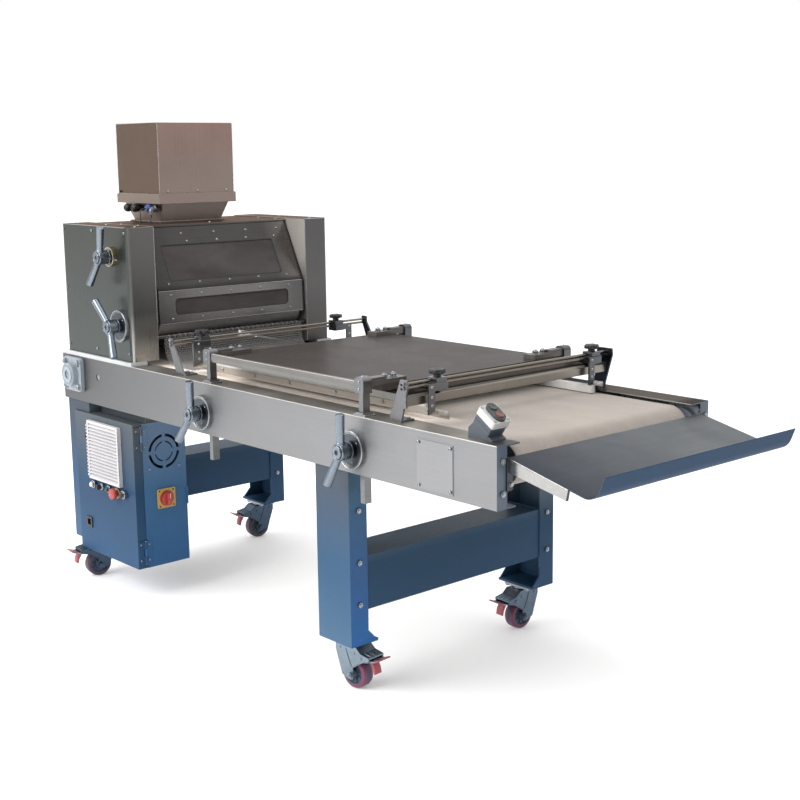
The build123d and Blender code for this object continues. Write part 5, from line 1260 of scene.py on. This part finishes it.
# door seal, hinge screws, fan behind its slots, door screws
for z in (172.0, 570.0):
    for dz in (-28, 28):
        screw(bm, (470.5, -384, z + dz), (1, 0, 0), 3.3, 1.8, 0, 1)
for y, z in ((-368, 460), (-252, 457)):
    screw(bm, (468.8, y, z), (1, 0, 0), 4.2, 2.4, 0, 1)
for dy, dz in ((-27, -27), (27, -27), (-27, 27), (27, 27)):
    lathe(bm, (473.8, -309 + dy, 350 + dz), (1, 0, 0), [(3.2, -0.2), (3.0, 1.0), (1.2, 1.2), (0, 0.6)], 12, 1)
finish_mesh(bm, "door_screws", ("zinc", "dark"), "door")
bm = bmesh.new()
for z in (172.0, 570.0):
    for dz in (-28, 28):
        screw(bm, (468.5, -414, z + dz), (1, 0, 0), 3.3, 1.8, 0, 1)
    lathe(bm, (471, -397, z + 40), (0, 0, 1), [(4.2, -0.6), (4.0, 0.6), (2.6, 1.8), (0, 2.0)], 18, 0)
    lathe(bm, (471, -397, z - 40), (0, 0, -1), [(4.2, -0.6), (4.0, 0.6), (2.6, 1.8), (0, 2.0)], 18, 0)
finish_mesh(bm, "hinge_screws", ("zinc", "dark"), "frame")
bm = bmesh.new()
FY, FZ2 = -309.0, 515.0
lathe(bm, (464.5, FY, FZ2), (-1, 0, 0), [(62, 0), (62, 22), (60, 22), (60, 0), (62, 0)], 40, 0)
lathe(bm, (462, FY, FZ2), (-1, 0, 0), [(0, 0), (16, 0), (17, 1), (17, 18), (0, 18)], 28, 0)
for k in range(7):
    a = 2 * pi * k / 7
    n = 7
    ra = []
    for j in range(n):
        rr = 16.5 + (57 - 16.5) * j / (n - 1)
        sw = 0.55 + 0.12 * j / (n - 1)
        row = []
        for q, dx in ((0.0, 3.0), (0.5, 8.5), (1.0, 16.0)):
            ang = a + sw * q + 0.05 * j
            row.append(bm.verts.new(P(461 - dx, FY + rr * cos(ang), FZ2 + rr * sin(ang))))
        ra.append(row)
    for r0, r1 in zip(ra, ra[1:]):
        for j in range(2):
            bm.faces.new((r0[j], r1[j], r1[j + 1], r0[j + 1]))
for s in (-1, 1):
    rbox(bm, (446, FY - 62, FZ2 + s * 14 - 3), (450, FY + 62, FZ2 + s * 14 + 3), 0.8, 0)
lathe(bm, (443.0, FY, FZ2), (-1, 0, 0), [(61, 0), (61, 1.2), (0, 1.4)], 40, 0)
finish_mesh(bm, "door_fan", "fan", "door", 40)
bm = bmesh.new()
tube(bm, [(467.4, a - 310.0, 368 + b) for a, b in rr_path(80, 246, 8)], 1.5, 6, 0, cap=False)
finish_mesh(bm, "door_seal", "rubber", "door")
# vent filter pad, frame screws and the small latch beside it
bm = bmesh.new()
nx, nz = 24, 24
grid = []
for i in range(nx + 1):
    col = []
    for j in range(nz + 1):
        x = 187.5 + (368.5 - 187.5) * i / nx
        z = 407 + (584 - 407) * j / nz
        col.append(bm.verts.new(P(x, -422.0 + random.uniform(-0.8, 0.8), z)))
    grid.append(col)
for i in range(nx):
    for j in range(nz):
        bm.faces.new((grid[i][j], grid[i + 1][j], grid[i + 1][j + 1], grid[i][j + 1]))
finish_mesh(bm, "vent_filter", "filter", "frame", 80)
bm = bmesh.new()
for x in (176.6, 379.4):
    for z in (397, 596):
        screw(bm, (x, -439, z), (0, -1, 0), 2.6, 1.4, 0, 1, 12)
# comb ends of the louvre blades
step = (600 - 392 - 18) / 16.0
for k in range(16):
    zc = 392 + 9 + step * (k + 0.5)
    for x0, x1 in ((169.5, 175), (381, 386.5)):
        rbox(bm, (x0, -441.6, zc - 6.4), (x1, -437.0, zc + 0.4), 0.7, 2)
finish_mesh(bm, "vent_trim", ("vent", "dark", "vent"), "frame")
bm = bmesh.new()
rbox(bm, (139, -431, 520), (151, -425, 552), 2.0, 0)
lathe(bm, (145, -431, 536), (0, -1, 0), [(5, -0.3), (5, 2.2), (4.2, 3.0), (0, 3.0)], 18, 0)
for z in (203.5, 238.0):
    screw(bm, (136, -429, z - 0.2), (0, -1, 0), 1.6, 0.9, 0, 0, 10)
finish_mesh(bm, "panel_latch", "black", "frame")
# isolator knob: scalloped rotary grip with pointer mark, on its red collar
bm = bmesh.new()
xk = 468.8 + 7.4
seg = 60
lay = [(0.93, 0.0), (1.0, 0.9), (1.0, 8.2), (0.94, 9.6), (0.0, 9.7)]
rings = []
for k, h in lay:
    if k == 0.0:
        rings.append([bm.verts.new(P(xk + h, -309, 350))])
        continue
    rings.append([bm.verts.new(P(xk + h, -309 + (22 - 0.7 * (0.5 + 0.5 * cos(20 * 2 * pi * j / seg))) * k * cos(2 * pi * j / seg), 350 + (22 - 0.7 * (0.5 + 0.5 * cos(20 * 2 * pi * j / seg))) * k * sin(2 * pi * j / seg))) for j in range(seg)])
for a, b in zip(rings, rings[1:]):
    for j in range(seg):
        if len(b) == 1:
            bm.faces.new((a[j], a[(j + 1) % seg], b[0]))
        else:
            bm.faces.new((a[j], a[(j + 1) % seg], b[(j + 1) % seg], b[j]))
bm.faces.new(rings[0][::-1])
lathe(bm, (468.9, -309, 350), (1, 0, 0), [(0, 0), (4, 0), (4, 8)], 16, 0)
rbox(bm, (xk + 8.5, -315.5, 328.5), (xk + 22.4, -302.5, 371.5), 3.0, 0, None, None, 3)
rbox(bm, (xk + 21.9, -310, 352), (xk + 22.55, -308, 370), 0.2, 1)
o = finish_mesh(bm, "isolator_grip", ("red", "white"), "isolator", 35)
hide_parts("isolator_knob")
paint_faces("isolator_plate", "red", lambda x, y, z, n: x > 473.9 and hypot(y + 309, z - 350) < 27.5)
paint_faces("isolator_plate", "black", lambda x, y, z, n: x < 466.6)

# ------------------------------------------------------------------ second colours on CAD pieces
paint_faces("side_rails", "rail_end", lambda x, y, z, n: x > 2188.6 and abs(n.x) > 0.5 and abs(y) > 340)
# painted light: the rails' top faces take the lighter rail_top copy of the rail steel
paint_faces("side_rails", "rail_top", lambda x, y, z, n: n.z > 0.5 and z > 815)
paint_faces("side_rails", "cover", lambda x, y, z, n: y < -425.3)
# lit and shaded copies of the hopper steel by face direction: painted light and shade
paint_faces("hopper_chute", "chute", lambda x, y, z, n: n.y < -0.5)
paint_faces("hopper_chute", "chute_front", lambda x, y, z, n: n.x > 0.4 and z < 1346)
paint_faces("hopper_bin", "hopper_side", lambda x, y, z, n: n.y < -0.5)
# painted reflection: the housings' top faces take the warm brown head_top steel
paint_faces("head_housings", "head_top", lambda x, y, z, n: n.z > 0.5 and z > 1278)
paint_faces("head_housings", "sill", lambda x, y, z, n: z < 834.2 or (n.z < -0.5 and z < 835))
paint_faces("head_housings", "inner", lambda x, y, z, n: abs(y) < 316.5 and abs(n.y) > 0.5 and x > 29)
paint_faces("head_housings", "apron", lambda x, y, z, n: x < 29 and abs(y) < 313 and z < 836)
paint_faces("head_cover", "head", lambda x, y, z, n: n.x < -0.5 and x < 26)
paint_faces("head_cover", "apron", lambda x, y, z, n: x < 30 and n.x > 0.5)
# lit and shaded copies of the housing steel on the near and far front faces: painted light and shade
paint_faces("head_housings", "head_front", lambda x, y, z, n: x > 470 and n.x > 0.5 and y < 0 and z > 834.2)
paint_faces("head_housings", "far_front", lambda x, y, z, n: x > 470 and n.x > 0.5 and y > 0 and z > 834.2)
# lit and shaded copies of the leg paint by side and face direction: painted light and shade
paint_faces("leg_frames", "leg_far", lambda x, y, z, n: y > 0 or abs(y) < 330)
paint_faces("leg_frames", "leg_side", lambda x, y, z, n: y < -330 and n.y < -0.3)
paint_faces("leg_frames", "leg_front", lambda x, y, z, n: y < -330 and n.x > 0.3 and x > 800)
paint_faces("front_guard", "guard_low", lambda x, y, z, n: z < 1058 and n.x > 0.5)
paint_faces("dial_plates", "brass", lambda x, y, z, n: hypot(x - 364, z - 1183) < 36)
paint_faces("dial_plates", "dial_face", lambda x, y, z, n: n.y < -0.5 and min(hypot(x - 902, z - 727), hypot(x - 1641, z - 727), hypot(x - 407, z - 953)) < 46 and (y > -434.5 if z < 800 else y > -425.5))
paint_faces("guide_rod_frames", "rod", lambda x, y, z, n: min(abs(x - 690), abs(x - 1826)) < 9 and 900 < z < 935 and -393 < y < 407)
# the front bar's face and web take their painted reflection and shade tones
paint_faces("guide_rod_frames", "bar", lambda x, y, z, n: x > 1822 and z < 891 and -393 < y < 407)
paint_faces("guide_rod_frames", "web", lambda x, y, z, n: 1800 < x < 1822 and 890 < z < 923 and -393 < y < 407)
paint_faces("guide_rod_frames", "far_navy", lambda x, y, z, n: x > 1700 and y > 407)
paint_faces("near_guide", "lift", lambda x, y, z, n: z > 850)
paint_faces("lift_posts", "arm", lambda x, y, z, n: z > 899.5 and abs(y) < 385)
paint_faces("catch_tray", "lip", lambda x, y, z, n: x > 2470 and n.x > 0.0)
paint_faces("panel_bezels", "chrome", lambda x, y, z, n: z > 350 and hypot(x - 349, z - 365) > 26)
paint_faces("panel_bezels", "dial", lambda x, y, z, n: hypot(x - 349, z - 365) < 26)
paint_faces("tail_roller", "zinc", lambda x, y, z, n: hypot(x - 2128, z - 755) < 20)
paint_faces("drive_roller", "zinc", lambda x, y, z, n: hypot(x - 90, z - 755) < 20)
for k, (ax, az) in {"upper_fixed_roller": (287, 1183), "lower_fixed_roller": (316, 953)}.items():
    paint_faces(k, "zinc", lambda x, y, z, n, ax=ax, az=az: hypot(x - ax, z - az) < 19)


# ------------------------------------------------------------------ stage
def stage_floor():
    me = bpy.data.meshes.new("floor")
    r = 60.0
    me.from_pydata([(-r, -r, 0), (r, -r, 0), (r, r, 0), (-r, r, 0)], [], [(0, 1, 2, 3)])
    o = bpy.data.objects.new("floor", me)
    bpy.context.scene.collection.objects.link(o)
    m, nt, b = new_mat("floor_pale")
    n = noise(nt, coords(nt), 0.8, 3.0, 0.5)
    c = ramp(nt, n, [(0.3, (0.86, 0.86, 0.86)), (0.7, (0.9, 0.9, 0.9))])
    nt.links.new(c, b.inputs["Base Color"])
    b.inputs["Roughness"].default_value = 0.85
    b.inputs["Specular IOR Level"].default_value = 0.1
    nt.links.new(c, b.inputs["Emission Color"])
    b.inputs["Emission Strength"].default_value = 0.20
    me.materials.append(m)


stage_floor()


def area(name, loc, target, size, power, col=(1, 1, 1)):
    d = bpy.data.lights.new(name, "AREA")
    d.shape = "RECTANGLE"
    d.size, d.size_y = size
    d.energy = power
    d.color = col
    o = bpy.data.objects.new(name, d)
    bpy.context.scene.collection.objects.link(o)
    o.location = loc
    o.rotation_euler = (Vector(target) - Vector(loc)).to_track_quat("-Z", "Y").to_euler()
    return o


area("key", (-1.2, -4.6, 3.4), (0, 0, 0.7), (4.5, 3.0), 260)
area("top", (0.6, -0.4, 5.2), (0, 0, 0.7), (4.0, 3.0), 60)

w = bpy.data.worlds.new("studio")
bpy.context.scene.world = w
w.use_nodes = True
wn = w.node_tree
wtc = wn.nodes.new("ShaderNodeTexCoord")
wsx = wn.nodes.new("ShaderNodeSeparateXYZ")
wn.links.new(wtc.outputs["Generated"], wsx.inputs[0])
side = math2(wn, "ADD", math2(wn, "MULTIPLY", wsx.outputs[0], 0.94), math2(wn, "MULTIPLY", wsx.outputs[1], -0.34))
dim = maprange(wn, side, 0.0, 1.0, 1.0, 0.40)
rise = maprange(wn, wsx.outputs[2], 0.12, 1.0, 0.0, 0.55)
wn.links.new(math2(wn, "ADD", dim, rise), wn.nodes["Background"].inputs[1])
wn.nodes["Background"].inputs[0].default_value = (1.0, 1.0, 1.0, 1.0)

# ------------------------------------------------------------------ camera
CAM = (4439.5, -2692.0, 1536.7)
AZ, PITCH, ROLL = radians(47.701), radians(9.964), radians(-0.552)
fwd = Vector((-sin(AZ) * cos(PITCH), cos(AZ) * cos(PITCH), -sin(PITCH)))
right = fwd.cross(Vector((0, 0, 1))).normalized()
up = right.cross(fwd)
r2 = cos(ROLL) * right + sin(ROLL) * up
u2 = -sin(ROLL) * right + cos(ROLL) * up
cam = bpy.data.cameras.new("cam")
co = bpy.data.objects.new("cam", cam)
bpy.context.scene.collection.objects.link(co)
mw = Matrix((r2, u2, -fwd)).transposed().to_4x4()
mw.translation = P(*CAM)
co.matrix_world = mw
cam.sensor_width = 36.0
cam.lens = 1352.04 * 36.0 / 800.0
cam.shift_x = (400 - 427.91) / 800.0
cam.shift_y = (384.28 - 400) / 800.0
cam.clip_end = 200.0
bpy.context.scene.camera = co
bpy.context.scene.view_settings.view_transform = "Standard"
